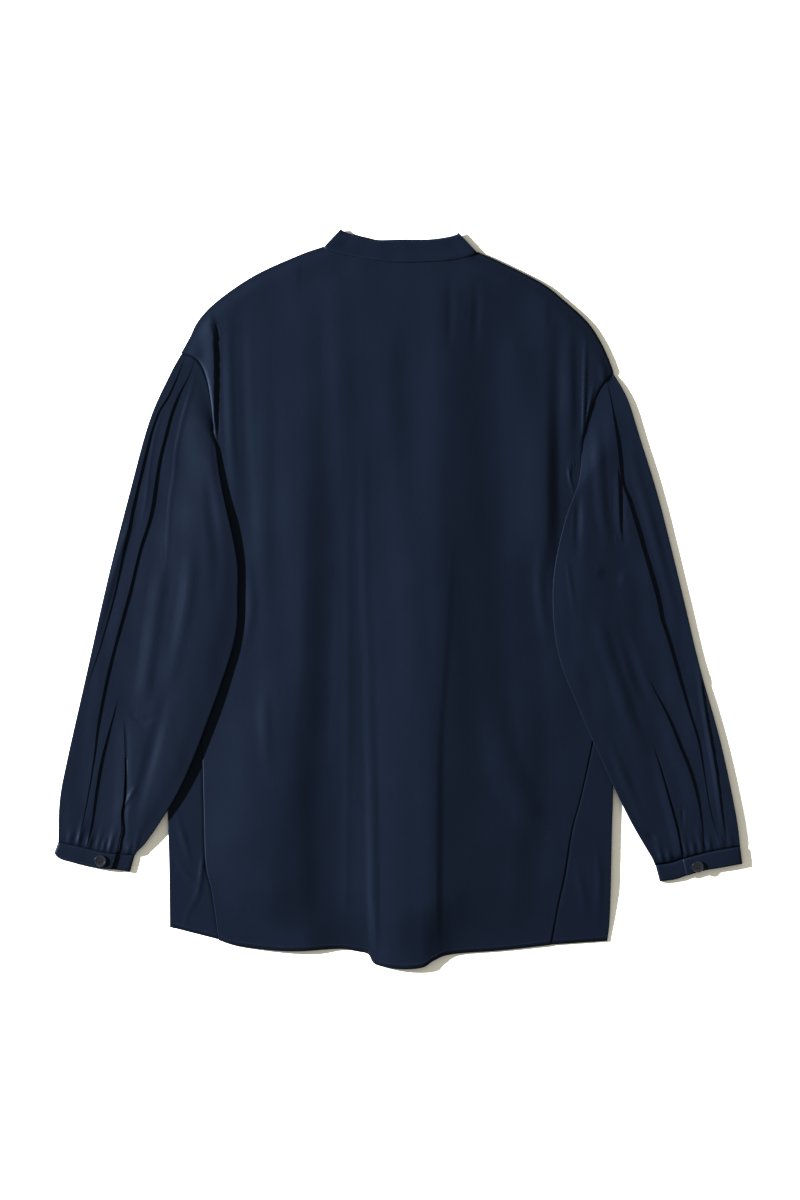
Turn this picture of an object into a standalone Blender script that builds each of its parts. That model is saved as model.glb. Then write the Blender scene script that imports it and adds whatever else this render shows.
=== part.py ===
"""Collarless shirt with a band collar, pleated sleeves and narrow buttoned cuffs.

The shirt lies flat with its back upward and its sleeves brought down beside the body.
+Y points to the collar, +X to the wearer's right and +Z up; the origin is under the
middle of the whole outline. Every size below is in millimetres until it enters a mesh.
"""

import math
from collections import namedtuple
from functools import lru_cache

import bpy
import numpy as np

MM = 0.001

# Cloth and its folds
CLOTH = 1.2             # wall of the panels and the sleeves
BAND = 1.4              # wall of the collar band and the cuffs, two plies and interlining
SEAM_GAP = 0.3          # between two pieces that are sewn together
SIDE_FOLD = 1.9         # outer radius of the body's side fold
SLEEVE_FOLD = 1.9       # outer radius of a sleeve's two long folds
BODY_TOP = 2 * SIDE_FOLD
SHOULDER_TOP = 2 * CLOTH + SEAM_GAP

# Front opening
STAND_HALF = 12.5       # each button stand reaches this far past the centre line
STAND_RAMP = 45.0       # where a front starts to rise towards the buttons under it
STAND_FLAT = 16.0       # where it has risen
STAND_RAISE = 2.2       # height of the outer stand over the buttons
STAND_WIDE = 62.0       # the back starts to rise over both stands here
STAND_SLOPE = 32.0      # and climbs over this distance
STAND_END = 338.0       # the rise ends at the back neckline
FRONT_HEM = -333.0      # the front's hem at the centre line
FRONT_NECK = 268.0      # the front's neckline at the centre line
HEM_KNEE = 120.0        # the front's hem turns towards the side fold here
HEM_RISE = 1.0

# Buttons
BUTTON_RADIUS = 5.9
BUTTON_HEIGHT = 1.9
BUTTON_RIM = 1.1
BUTTON_DISH = 0.5
BUTTON_SLOPE = 0.6      # from the dish up to the rim
BUTTON_CHAMFER = 0.4
BUTTON_TAPER = 0.5
HOLE_RADIUS = 0.8
HOLE_OFFSET = 1.5
BUTTON_SIDES = 12
HOLE_SIDES = 6
FRONT_BUTTONS = 6
FIRST_BUTTON_Y = 232.0
BUTTON_PITCH = 88.0

# How the sleeve climbs over the body's edge
CLIMB_NEAR = 22.0       # it is fully raised this far outside the edge
CLIMB_FAR = 34.0        # and lies on the surface from here on
UPPER_FAR = 52.0        # its upper wall comes down more gently
SLEEVE_CLEAR = 15.0     # folds of the back end this far from a sleeve's edge
SHOULDER_SLOPE = 14.0   # the back comes down to the shoulder seam over this distance
FOLD_FADE = 40.0        # folds of the back fade out over this distance at their ends

# Layers of a cuff: its inner wall, its end underneath and its end on top
LAYER_LOW = 0.0
LAYER_MIDDLE = 3.6
LAYER_TOP = 5.3

# Mesh density
ROWS_SIDE = 13          # hem to underarm
ROWS_HIDDEN = 4         # underarm to where the armhole shows
ROWS_ARMHOLE = 6        # the armhole that shows
COLUMNS_SHOULDER = 7
COLUMNS_NECK = 12
COLUMNS_FRONT_NECK = 4
COLUMNS_FLAP = 2
COLUMNS_LOWER = 10      # points across a sleeve's lower wall
COLUMNS_PLAIN = 4       # spans of its upper wall past the last pleat
RINGS_SLEEVE = 18
FOLD_STEPS = 4
TOP_CURVE = 2.5         # how soon the rows of a panel flatten below its curved top
SIDE_HOLD = 0.42        # share of a front over which its side edge shapes the mesh
SMOOTH_STEPS = 24
EDGE_STEPS = 60         # spans of a long outline that is read at any place
LINE_STEPS = 40         # spans of a cuff's outlines
CUFF_SPANS = (6, 8, 5)  # along a cuff's end on top, its inner wall and its end underneath
STRIP_ROWS = (0.0, 0.5, 1.0)    # from the sewn edge of a band or cuff to its free edge

NAVY = (0.012, 0.020, 0.042)
SLEEVE_NAVY = (0.013, 0.022, 0.047)
BUTTON_NAVY = (0.008, 0.010, 0.018)

# One side of the shirt. Each outline is a list of (x, y) points, read in this order:
# shoulder from armhole to neck, armhole that shows from shoulder down, armhole under the
# sleeve down to the underarm, side seam and side fold from hem to underarm, sleeve edges
# and cuff lines from shoulder to cuff or from the sleeve's outer to its inner edge.
Side = namedtuple(
    "Side",
    "name sign shoulder armhole hidden seam fold outer inner cuff_seam cuff_edge"
    " lap under button turn",
)

LEFT = Side(
    name="left",
    sign=-1,
    shoulder=((-217.1, 245.5), (-208.7, 260.5), (-198.7, 279.5), (-178.7, 299.5),
              (-142.7, 323.8), (-98.7, 343.8), (-74.7, 352.2)),
    armhole=((-217.1, 245.5), (-202.0, 240.0), (-193.0, 224.0), (-188.0, 200.0),
             (-184.7, 172.0)),
    hidden=((-184.7, 172.0), (-185.5, 135.0), (-196.0, 96.0), (-225.0, 51.5)),
    seam=((-180.0, -340.2), (-186.2, -292.5), (-192.7, -262.5), (-194.7, -200.5),
          (-196.7, -145.5), (-206.0, -60.0), (-218.0, 5.0), (-225.0, 51.5)),
    fold=((-228.2, -327.9), (-228.7, -268.5), (-230.0, -212.5), (-230.5, -90.0),
          (-230.5, 51.5)),
    outer=((-217.1, 245.5), (-228.7, 223.5), (-248.7, 177.5), (-268.7, 104.5),
           (-289.7, 21.5), (-312.7, -80.5), (-330.7, -160.5), (-338.1, -200.5),
           (-339.6, -241.8)),
    inner=((-184.7, 172.0), (-177.7, 119.5), (-161.7, 45.0), (-160.2, 5.0),
           (-164.0, -44.0), (-192.7, -128.5), (-218.7, -190.5), (-248.7, -238.5),
           (-263.9, -254.8)),
    cuff_seam=((-339.7, -242.4), (-318.7, -246.5), (-298.7, -251.5), (-279.7, -254.3),
               (-263.4, -255.4)),
    cuff_edge=((-343.7, -253.5), (-337.0, -259.5), (-318.7, -264.5), (-298.7, -268.6),
               (-281.7, -270.2), (-268.0, -272.1)),
    lap=0.78,
    under=0.42,
    button=(-297.1, -260.9),
    turn=0.2,
)

RIGHT = Side(
    name="right",
    sign=1,
    shoulder=((215.3, 225.5), (210.3, 239.5), (201.3, 258.5), (188.3, 277.5),
              (164.3, 299.5), (142.0, 316.5), (101.3, 337.1), (79.3, 346.8)),
    armhole=((215.3, 225.5), (202.0, 210.0), (191.3, 185.5), (184.3, 159.5)),
    hidden=((184.3, 159.5), (185.0, 125.0), (193.0, 88.0), (209.5, 54.5)),
    seam=((152.3, -345.5), (160.3, -302.5), (166.3, -274.5), (173.3, -231.5),
          (182.3, -197.5), (194.3, -141.5), (204.0, -85.0), (209.5, -20.0),
          (209.5, 54.5)),
    fold=((208.7, -341.5), (211.3, -315.5), (213.3, -231.5), (214.5, -170.0),
          (214.8, 54.5)),
    outer=((215.3, 225.5), (229.3, 199.5), (241.3, 161.5), (260.3, 99.5),
           (281.3, 15.5), (301.3, -68.5), (321.3, -140.5), (336.3, -210.5),
           (341.4, -245.4)),
    inner=((184.3, 159.5), (180.5, 119.0), (165.5, 76.0), (154.3, 15.0),
           (159.0, -52.0), (181.3, -112.5), (207.3, -170.5), (231.3, -220.5),
           (256.6, -263.8)),
    cuff_seam=((341.3, -246.6), (325.0, -249.3), (311.3, -251.9), (301.3, -254.4),
               (286.0, -258.6), (273.3, -263.0), (256.9, -265.4)),
    cuff_edge=((343.7, -264.1), (321.3, -268.1), (305.3, -270.9), (288.0, -275.9),
               (277.3, -279.6), (261.3, -282.1)),
    lap=0.68,
    under=0.34,
    button=(299.0, -266.9),
    turn=-0.1,
)

SIDES = {"left": LEFT, "right": RIGHT}

BACK_NECK = ((-74.7, 352.2), (-66.7, 347.8), (-32.0, 340.8), (0.3, 337.2), (42.3, 338.4),
             (61.3, 340.9), (73.3, 344.2), (79.3, 346.8))
BACK_HEM = ((-180.0, -340.7), (-158.7, -346.9), (-110.7, -351.6), (-61.7, -349.3),
            (-43.7, -351.2), (-30.3, -354.6), (-22.7, -364.9), (1.3, -369.3),
            (24.0, -367.6), (35.3, -360.9), (52.3, -354.9), (102.3, -351.0),
            (152.3, -345.5))

# The collar band's free edge behind, from peak to peak
BAND_BACK_EDGE = ((-58.4, 369.2), (-50.0, 365.4), (-38.0, 362.6), (-22.0, 358.8),
                  (5.0, 359.2), (30.0, 359.2), (50.0, 361.8), (61.5, 365.3))
BAND_WIDTH = 21.0
BAND_FOLD = 2.0         # outer radius of the band's folds beside the neck
BAND_TOP = 2 * BAND_FOLD
BAND_TRIM = 2.6         # the folds start this far before the side of the neck
BAND_GAP = 0.4
BAND_TURN = 40.0        # the front of the band swings into line over this distance
BAND_FOLD_OUT = (0.4, 0.9)      # the way its folds point, outward and towards the collar

# The front neckline from the side of the neck to the stand, for either side
FRONT_NECK_RUN = ((71.5, 328.0), (62.0, 305.0), (45.0, 287.0))
NECK_RISE = FRONT_NECK_RUN[-1][1] - FRONT_NECK

# Folds of the back panel. Each runs from (x0, y0) to (x1, y1); it rises over `rise` on its
# left, stands `height` over the cloth, and falls over `fall` on its right.
Fold = namedtuple("Fold", "name x0 y0 x1 y1 height rise fall")
BACK_FOLDS = [
    Fold("centre_left", -35.0, 150.0, -27.0, -357.0, 1.2, 16.0, 10.0),
    Fold("centre_right", 50.0, 110.0, 34.0, -357.0, 1.0, 22.0, 8.0),
    Fold("left_field", -112.0, 190.0, -112.0, -352.0, 1.6, 34.0, 30.0),
    Fold("right_field", 102.0, 200.0, 92.0, -345.0, 1.3, 30.0, 38.0),
    Fold("left_strip", -184.0, 284.0, -181.0, 190.0, 2.4, 20.0, 6.0),
    Fold("right_strip", 184.0, 258.0, 170.0, 180.0, 1.4, 12.0, 10.0),
    Fold("left_wedge", -197.0, -262.0, -184.0, -330.0, 0.8, 10.0, 8.0),
]

# Pleats of a sleeve. `path` gives its place from the sleeve's outer edge (0) to its inner
# edge (1) at the stations below; `height` is how far it stands there. A pleat is steep on
# the side that faces the wearer's right.
STATIONS = [0.0, 0.1, 0.22, 0.37, 0.5, 0.7, 0.83, 0.92, 1.0]
Pleat = namedtuple("Pleat", "name path height")
PLEATS = {
    "left": [
        Pleat("edge", [0.08, 0.07, 0.08, 0.08, 0.09, 0.08, 0.08, 0.10, 0.12],
              [0.8, 1.6, 1.8, 1.8, 1.8, 1.2, 0.6, 0.8, 0.9]),
        Pleat("main", [0.24, 0.30, 0.28, 0.20, 0.19, 0.18, 0.20, 0.24, 0.27],
              [1.2, 2.2, 2.4, 2.4, 2.4, 2.2, 2.0, 1.6, 1.0]),
        Pleat("lower", [0.33, 0.40, 0.37, 0.32, 0.31, 0.27, 0.29, 0.34, 0.41],
              [0.4, 0.4, 0.3, 0.2, 0.2, 1.6, 1.8, 1.6, 1.0]),
        Pleat("slit", [0.42, 0.52, 0.47, 0.45, 0.44, 0.42, 0.47, 0.58, 0.76],
              [0.8, 1.3, 1.4, 1.1, 0.6, 0.8, 1.0, 1.0, 0.8]),
    ],
    "right": [
        Pleat("edge", [0.08, 0.09, 0.10, 0.10, 0.10, 0.09, 0.09, 0.11, 0.14],
              [0.3, 0.3, 0.3, 0.3, 0.4, 1.2, 1.6, 1.4, 1.0]),
        Pleat("main", [0.34, 0.38, 0.36, 0.27, 0.22, 0.19, 0.21, 0.24, 0.26],
              [1.2, 2.2, 2.4, 2.4, 2.4, 2.2, 2.0, 1.6, 1.0]),
        Pleat("second", [0.50, 0.52, 0.48, 0.44, 0.40, 0.37, 0.33, 0.35, 0.38],
              [0.4, 0.8, 1.2, 1.0, 0.4, 1.4, 1.8, 1.6, 1.0]),
        Pleat("slit", [0.66, 0.68, 0.66, 0.62, 0.60, 0.57, 0.56, 0.58, 0.66],
              [0.4, 0.4, 0.3, 0.3, 0.4, 0.8, 1.0, 1.0, 0.8]),
    ],
}
PLEAT_FOOT = 3.0        # plan width of a pleat's steep side
SLIT_START = 0.79       # the vent runs from here to the cuff
SLIT_GAP = 0.5
HEAD_GAP = 0.6          # between the armhole's two sides
HEAD_OUT = (0.85, -0.5)         # the way a sleeve keeps clear, outward and towards the hem
HEAD_FADE = 0.1         # share of the sleeve's length over which that ends
HEAD_REACH = 0.2        # and over which the armhole's curve flattens
CUFF_REACH = 0.15       # the same for the cuff seam's curve
SHOULDER_CLEAR = 2.2    # more room where the sleeve's outer fold meets the shoulder
SHOULDER_POWER = 4      # how soon that ends along the armhole
GATHER_START = 0.86     # the waves begin here and are full after GATHER_RISE
GATHER_RISE = 0.12
GATHERS = 7             # small waves across the sleeve where the cuff takes it in
GATHER_HEIGHT = 0.6
CROWN = 0.8             # how far a sleeve's upper wall rises between its folds


# ---------------------------------------------------------------- curves and patches

def measure(points):
    """Distance along a run of points, from its first."""
    steps = np.linalg.norm(np.diff(points, axis=0), axis=1)
    return np.concatenate([[0.0], np.cumsum(steps)])


def along(points, fractions):
    """Points at the given fractions of a run's length."""
    points = np.asarray(points, float)
    reach = measure(points)
    wanted = np.asarray(fractions) * reach[-1]
    return np.column_stack([np.interp(wanted, reach, axis) for axis in points.T])


@lru_cache(maxsize=None)
def smooth(points, count):
    """Evenly spaced points on a smooth curve through the given ones."""
    knots = np.asarray(points, float)
    first = 2 * knots[0] - knots[1]
    last = 2 * knots[-1] - knots[-2]
    knots = np.vstack([first, knots, last])
    dense = []
    for a, b, c, d in zip(knots, knots[1:], knots[2:], knots[3:]):
        for s in np.arange(SMOOTH_STEPS) / SMOOTH_STEPS:
            straight = 2 * b + (c - a) * s
            bend = (2 * a - 5 * b + 4 * c - d) * s ** 2 + (3 * b - a - 3 * c + d) * s ** 3
            dense.append(0.5 * (straight + bend))
    dense.append(knots[-2])
    return along(dense, np.linspace(0, 1, count + 1))


def join(*runs):
    """One run of points from several that meet end to end."""
    parts = [runs[0]]
    for run in runs[1:]:
        parts.append(run[1:])
    return np.vstack(parts)


def inset(points, distance):
    """A run of points moved to its left by a distance."""
    points = np.asarray(points, float)
    heading = np.gradient(points, axis=0)
    heading /= np.linalg.norm(heading, axis=1)[:, None]
    left = np.column_stack([-heading[:, 1], heading[:, 0]])
    return points + left * distance


def ease(value):
    """A smooth step from 0 to 1."""
    value = np.clip(value, 0.0, 1.0)
    return value * value * (3 - 2 * value)


def patch(bottom, top, left, right, hold=1.0):
    """A grid of plan points between four edges; the side edges' shape fades over `hold`."""
    count_u = len(bottom)
    count_v = len(left)
    level = (left[:, 1] - left[0, 1]) / (left[-1, 1] - left[0, 1])
    level_right = (right[:, 1] - right[0, 1]) / (right[-1, 1] - right[0, 1])
    grid = np.zeros((count_v, count_u, 2))
    share = measure(bottom) / measure(bottom)[-1]
    for j in range(count_v):
        for i in range(count_u):
            u = share[i]
            v = (1 - u) * level[j] + u * level_right[j]
            straight = (1 - v) * bottom[i] + v * top[i]
            corner_y = (1 - u) * top[0, 1] + u * top[-1, 1]
            straight[1] += (v ** TOP_CURVE - v) * (top[i, 1] - corner_y)
            left_bulge = left[j] - (1 - level[j]) * left[0] - level[j] * left[-1]
            right_bulge = right[j] - (1 - level_right[j]) * right[0] - level_right[j] * right[-1]
            near_left = max(0.0, 1 - u / hold)
            near_right = max(0.0, 1 - (1 - u) / hold)
            grid[j, i] = straight + near_left * left_bulge + near_right * right_bulge
    return grid


# ---------------------------------------------------------------- making objects

def fresh_scene():
    """Remove what the scene holds and make the shirt's own collections."""
    for old in list(bpy.data.objects):
        bpy.data.objects.remove(old, do_unlink=True)
    made = []
    for name in ("collarless_shirt", "cutters"):
        collection = bpy.data.collections.get(name) or bpy.data.collections.new(name)
        if name not in bpy.context.scene.collection.children:
            bpy.context.scene.collection.children.link(collection)
        made.append(collection)
    return made


def cloth_material(name, colour, roughness):
    """A plain surface of one colour."""
    material = bpy.data.materials.new(name)
    material.use_nodes = True
    shader = material.node_tree.nodes["Principled BSDF"]
    shader.inputs["Base Color"].default_value = (*colour, 1.0)
    shader.inputs["Roughness"].default_value = roughness
    shader.inputs["Metallic"].default_value = 0.0
    return material


def sheet_object(name, points, faces, wall, material, collection):
    """An open surface of outer points, thickened inward into a closed cloth wall."""
    mesh = bpy.data.meshes.new(name)
    mesh.from_pydata([tuple(MM * value for value in point) for point in points], [], faces)
    mesh.validate()
    mesh.update()
    mesh.materials.append(material)
    mesh.shade_smooth()
    piece = bpy.data.objects.new(name, mesh)
    collection.objects.link(piece)
    solidify = piece.modifiers.new("wall", "SOLIDIFY")
    solidify.thickness = wall * MM
    solidify.offset = -1.0
    solidify.use_even_offset = True
    solidify.use_quality_normals = True
    return piece


def grid_faces(rows, columns, start=0, flip=False, closed=False):
    """Quads of a grid of points stored row by row."""
    faces = []
    spans = columns if closed else columns - 1
    for j in range(rows - 1):
        for i in range(spans):
            after = (i + 1) % columns
            a = start + j * columns + i
            b = start + j * columns + after
            c = start + (j + 1) * columns + after
            d = start + (j + 1) * columns + i
            faces.append((a, d, c, b) if flip else (a, b, c, d))
    return faces


# ---------------------------------------------------------------- the shirt's seam lines

def side_seam(side):
    """Side seam, then armhole, from the hem to the shoulder: the back panel's side edge."""
    lower = smooth(side.seam, ROWS_SIDE)
    return join(lower, armhole(side))


def armhole(side):
    """The armhole from the underarm to the shoulder."""
    hidden = smooth(side.hidden, ROWS_HIDDEN)[::-1]
    shown = smooth(side.armhole, ROWS_ARMHOLE)[::-1]
    return join(hidden, shown)


def shoulder(side):
    """The shoulder line from the armhole to the neck."""
    return smooth(side.shoulder, COLUMNS_SHOULDER)


def front_neck(side):
    """The front neckline from the side of the neck to the edge of the button stand."""
    run = tuple((side.sign * x, y) for x, y in FRONT_NECK_RUN)
    return smooth((side.shoulder[-1], *run), COLUMNS_FRONT_NECK)


def neck_y(x):
    """The front neckline's height near the centre line."""
    return FRONT_NECK + NECK_RISE * (x / STAND_RAMP) ** 2


# ---------------------------------------------------------------- body panels

def fold_height(x, y, folds):
    """How far the folds of a table raise the cloth at a plan point."""
    total = 0.0
    for fold in folds:
        run = np.array([fold.x1 - fold.x0, fold.y1 - fold.y0])
        length = np.linalg.norm(run)
        heading = run / length
        offset = np.array([x - fold.x0, y - fold.y0])
        travelled = offset @ heading
        across = offset[0] * -heading[1] + offset[1] * heading[0]
        width = fold.rise if across < 0 else fold.fall
        inside = ease(1 - abs(across) / width)
        fade = ease(1 + travelled / FOLD_FADE) * ease((length - travelled) / FOLD_FADE + 1)
        total += fold.height * inside * fade
    return total


@lru_cache(maxsize=None)
def covered_edge(side_name):
    """The body's edge that a sleeve may cover: side fold, then the hidden armhole."""
    side = SIDES[side_name]
    return join(smooth(side.fold, ROWS_SIDE), smooth(side.hidden, ROWS_HIDDEN)[::-1])


def under_sleeve(side, x, y):
    """Distance outside the body's edge where a sleeve may cover it; negative inside."""
    top_x, top_y = side.hidden[0]
    if y > top_y:
        return math.hypot(x - top_x, y - top_y)
    edge = covered_edge(side.name)
    return side.sign * (x - np.interp(y, edge[:, 1], edge[:, 0]))


def clear_of_sleeves(x, y):
    """1 where no sleeve lies on the body, falling to 0 where one does."""
    clear = 1.0
    for side in SIDES.values():
        inner = np.array(side.inner)[::-1]
        if y < inner[0, 1]:
            continue
        if y > inner[-1, 1]:
            distance = math.hypot(x - inner[-1, 0], y - inner[-1, 1])
        else:
            distance = side.sign * (np.interp(y, inner[:, 1], inner[:, 0]) - x)
        clear = min(clear, float(ease((distance - SLEEVE_CLEAR) / SLEEVE_CLEAR)))
    return clear


def back_height(x, y, depth):
    """The top of the back panel; `depth` is the distance below the shoulder line."""
    over_stands = STAND_RAISE + 2 * (BAND + SEAM_GAP) + CLOTH - BODY_TOP
    centre = over_stands * ease((STAND_WIDE - abs(x)) / STAND_SLOPE)
    centre *= ease((STAND_END - y) / STAND_SLOPE)
    folds = fold_height(x, y, BACK_FOLDS) * clear_of_sleeves(x, y)
    height = BODY_TOP + centre + folds
    return SHOULDER_TOP + (height - SHOULDER_TOP) * ease(depth / SHOULDER_SLOPE)


def make_back(material, collection):
    """The back panel: one sheet from hem to neckline and armhole to armhole."""
    left = inset(side_seam(LEFT), -SEAM_GAP)
    right = inset(side_seam(RIGHT), SEAM_GAP)
    neck = smooth(BACK_NECK, COLUMNS_NECK)
    top = join(shoulder(LEFT), neck, shoulder(RIGHT)[::-1])
    shares = measure(top) / measure(top)[-1]
    hem = along(smooth(BACK_HEM, EDGE_STEPS), shares)
    top[0] = left[-1]
    top[-1] = right[-1]
    hem[0] = left[0]
    hem[-1] = right[0]
    grid = patch(hem, top, left, right)
    rows, columns = grid.shape[:2]
    points = []
    for j in range(rows):
        for i in range(columns):
            x, y = grid[j, i]
            depth = float(np.linalg.norm(grid[-1, i] - grid[j, i]))
            if COLUMNS_SHOULDER <= i <= COLUMNS_SHOULDER + COLUMNS_NECK:
                depth = SHOULDER_SLOPE
            points.append((x, y, back_height(x, y, depth)))
    faces = grid_faces(rows, columns)
    return sheet_object("back", points, faces, CLOTH, material, collection)


def stand_neck(side):
    """The neckline across the button stand, past the centre line."""
    places = (STAND_RAMP, (STAND_RAMP + STAND_FLAT) / 2, STAND_FLAT, 0.0, -STAND_HALF)
    return np.array([(side.sign * x, neck_y(x)) for x in places])


def front_height(side, x, wall=CLOTH):
    """The underside of a front or its band, which rises over the buttons at the centre."""
    stacked = STAND_RAISE if side is RIGHT else STAND_RAISE + wall + SEAM_GAP
    distance = side.sign * x
    return stacked * float(ease((STAND_RAMP - distance) / (STAND_RAMP - STAND_FLAT)))


def make_front(side, material, collection):
    """A front panel on the surface, with its side wrapped up and over to the side seam."""
    fold = smooth(side.fold, ROWS_SIDE)
    turned = fold - np.array([side.sign * SIDE_FOLD, 0.0])
    edge = join(turned, np.vstack([turned[-1:], inset(armhole(side), side.sign * SEAM_GAP)[1:]]))
    stand_top = stand_neck(side)
    top = join(shoulder(side), front_neck(side), stand_top)
    top[0] = edge[-1]
    reach = measure(top[:1 - len(stand_top)])
    corners = [edge[0], (side.sign * HEM_KNEE, FRONT_HEM + HEM_RISE),
               (side.sign * STAND_RAMP, FRONT_HEM)]
    hem_side = along(corners, reach / reach[-1])
    hem_stand = np.array([(x, FRONT_HEM) for x, y in stand_top])
    hem = join(hem_side, hem_stand)
    centre_x = -side.sign * STAND_HALF
    level = (edge[:, 1] - edge[0, 1]) / (edge[-1, 1] - edge[0, 1])
    centre = np.column_stack([np.full(len(edge), centre_x),
                              FRONT_HEM + level * (neck_y(centre_x) - FRONT_HEM)])
    grid = patch(hem, top, edge, centre, hold=SIDE_HOLD)
    rows, columns = grid.shape[:2]
    points = []
    for j in range(rows):
        for i in range(columns):
            x, y = grid[j, i]
            points.append((x, y, front_height(side, x)))
    flip = side is LEFT
    faces = grid_faces(rows, columns, flip=flip)
    faces += wrap_side(side, fold, grid, points, flip)
    return sheet_object(f"front_{side.name}", points, faces, CLOTH, material, collection)


def wrap_side(side, fold, grid, points, flip):
    """Add the side fold and the wedge on top of it; return their faces."""
    columns = grid.shape[1]
    seam = smooth(side.seam, ROWS_SIDE)
    added = []
    for j in range(ROWS_SIDE + 1):
        row = [j * columns]
        middle_x = fold[j, 0] - side.sign * SIDE_FOLD
        for step in range(1, FOLD_STEPS + 1):
            angle = math.pi * step / FOLD_STEPS
            x = middle_x + side.sign * SIDE_FOLD * math.sin(angle)
            z = SIDE_FOLD - SIDE_FOLD * math.cos(angle)
            row.append(len(points))
            points.append((x, fold[j, 1], z))
        for step in range(1, COLUMNS_FLAP + 1):
            share = step / COLUMNS_FLAP
            x = middle_x + share * (seam[j, 0] - middle_x)
            y = fold[j, 1] + share * (seam[j, 1] - fold[j, 1])
            row.append(len(points))
            points.append((x, y, BODY_TOP))
        added.append(row)
    faces = []
    for lower, upper in zip(added, added[1:]):
        for i in range(len(lower) - 1):
            quad = (lower[i], lower[i + 1], upper[i + 1], upper[i])
            faces.append(quad if flip else quad[::-1])
    return faces


# ---------------------------------------------------------------- sleeves

def climb(side, x, y, far):
    """How high a sleeve's wall is lifted by the body under it."""
    distance = under_sleeve(side, x, y)
    lifted = BODY_TOP + SEAM_GAP
    return lifted * float(ease((far - distance) / (far - CLIMB_NEAR)))


def station(values, t):
    """A table value between its stations."""
    return float(np.interp(t, STATIONS, values))


def sleeve_columns(side, t, width):
    """Places across the upper wall, outer to inner, with their height over it."""
    columns = [(0.0, 0.0)]
    for pleat in PLEATS[side.name]:
        place = station(pleat.path, t)
        height = station(pleat.height, t)
        is_open = pleat.name == "slit" and t > SLIT_START
        foot = (SLIT_GAP if is_open else PLEAT_FOOT) / width
        crest = (place, height)
        base = (place + foot, 0.0) if side is LEFT else (place - foot, 0.0)
        columns += [crest, base] if side is LEFT else [base, crest]
    last = columns[-1][0]
    for step in range(1, COLUMNS_PLAIN + 1):
        columns.append((last + step / COLUMNS_PLAIN * (1.0 - last), 0.0))
    return columns


def sleeve_line(side, t, places):
    """Plan points across the sleeve at station t, at the given places outer to inner."""
    outer = along(smooth(side.outer, EDGE_STEPS), [t])[0]
    inner = along(smooth(side.inner, EDGE_STEPS), [t])[0]
    straight = outer + np.outer(places, inner - outer)
    head = along(smooth(side.armhole, ROWS_ARMHOLE), places)
    head_bulge = head - chord(side.armhole, places)
    cuff = along(smooth(side.cuff_seam, LINE_STEPS), places)
    cuff_bulge = cuff - chord(side.cuff_seam, places)
    near_head = max(0.0, 1 - t / HEAD_REACH) ** 2
    near_cuff = max(0.0, 1 - (1 - t) / CUFF_REACH) ** 2
    return straight + near_head * head_bulge + near_cuff * cuff_bulge


def chord(points, places):
    """The straight line from a curve's first point to its last, at the given places."""
    first = np.array(points[0])
    last = np.array(points[-1])
    return first + np.outer(places, last - first)


def ring_points(side, t):
    """One section of a sleeve: lower wall, inner fold, upper wall, outer fold."""
    lower_places = np.linspace(0, 1, COLUMNS_LOWER)
    span = sleeve_line(side, t, np.array([0.0, 1.0]))
    width = float(np.linalg.norm(span[1] - span[0]))
    margin = SLEEVE_FOLD / width

    def plan(places):
        places = np.asarray(places)
        line = sleeve_line(side, t, margin + places * (1 - 2 * margin))
        return line + head_shift(side, t, places)

    ring = []
    for x, y in plan(lower_places):
        ring.append((x, y, climb(side, x, y, CLIMB_FAR)))
    columns = sleeve_columns(side, t, width)
    upper = plan([place for place, height in columns])
    heights = []
    for (x, y), (place, height) in zip(upper, columns):
        crown = CROWN * math.sin(math.pi * min(1.0, max(0.0, place)))
        gather = gathers(side, t, place)
        lift = climb(side, x, y, UPPER_FAR)
        heights.append(lift + 2 * SLEEVE_FOLD + crown + height + gather)
    inner_dir = span[1] - span[0]
    inner_dir /= np.linalg.norm(inner_dir)
    ring += fold_arc(ring[-1], (*upper[-1], heights[-1]), inner_dir, SLEEVE_FOLD)
    ring += [(x, y, z) for (x, y), z in zip(upper[::-1], heights[::-1])]
    ring += fold_arc(ring[-1], ring[0], -inner_dir, SLEEVE_FOLD)
    return ring


def head_shift(side, t, places):
    """Move the sleeve's first section clear of the body, most at the shoulder."""
    outward = np.array([side.sign * HEAD_OUT[0], HEAD_OUT[1]])
    distance = HEAD_GAP + SHOULDER_CLEAR * (1 - places) ** SHOULDER_POWER
    return np.outer(distance, outward) * max(0.0, 1 - t / HEAD_FADE)


def gathers(side, t, place):
    """Small waves where the cuff takes the sleeve in."""
    strength = ease((t - GATHER_START) / GATHER_RISE)
    return GATHER_HEIGHT * strength * (1 + math.cos(2 * math.pi * GATHERS * place)) / 2


def fold_arc(start, end, outward, reach):
    """Points of a rounded fold between two points that stand one over the other."""
    start = np.array(start)
    end = np.array(end)
    points = []
    for step in range(1, FOLD_STEPS):
        angle = math.pi * step / FOLD_STEPS
        share = (1 - math.cos(angle)) / 2
        point = (1 - share) * start + share * end
        point[:2] += outward * reach * math.sin(angle)
        points.append(tuple(point))
    return points


def make_sleeve(side, material, collection):
    """A sleeve: sections from the armhole to the cuff, open at both ends and at the vent."""
    stations = np.linspace(0, 1, RINGS_SLEEVE + 1)
    rings = [ring_points(side, t) for t in stations]
    columns = len(rings[0])
    points = [point for ring in rings for point in ring]
    faces = grid_faces(len(rings), columns, flip=side is RIGHT, closed=True)
    before_vent = COLUMNS_LOWER + (FOLD_STEPS - 1) + COLUMNS_PLAIN
    kept = []
    for index, face in enumerate(faces):
        ring, column = divmod(index, columns)
        in_vent = column == before_vent and stations[ring] >= SLIT_START
        if not in_vent:
            kept.append(face)
    name = f"sleeve_{side.name}"
    return sheet_object(name, points, kept, CLOTH, material, collection)


# ---------------------------------------------------------------- cuffs and collar band

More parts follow.
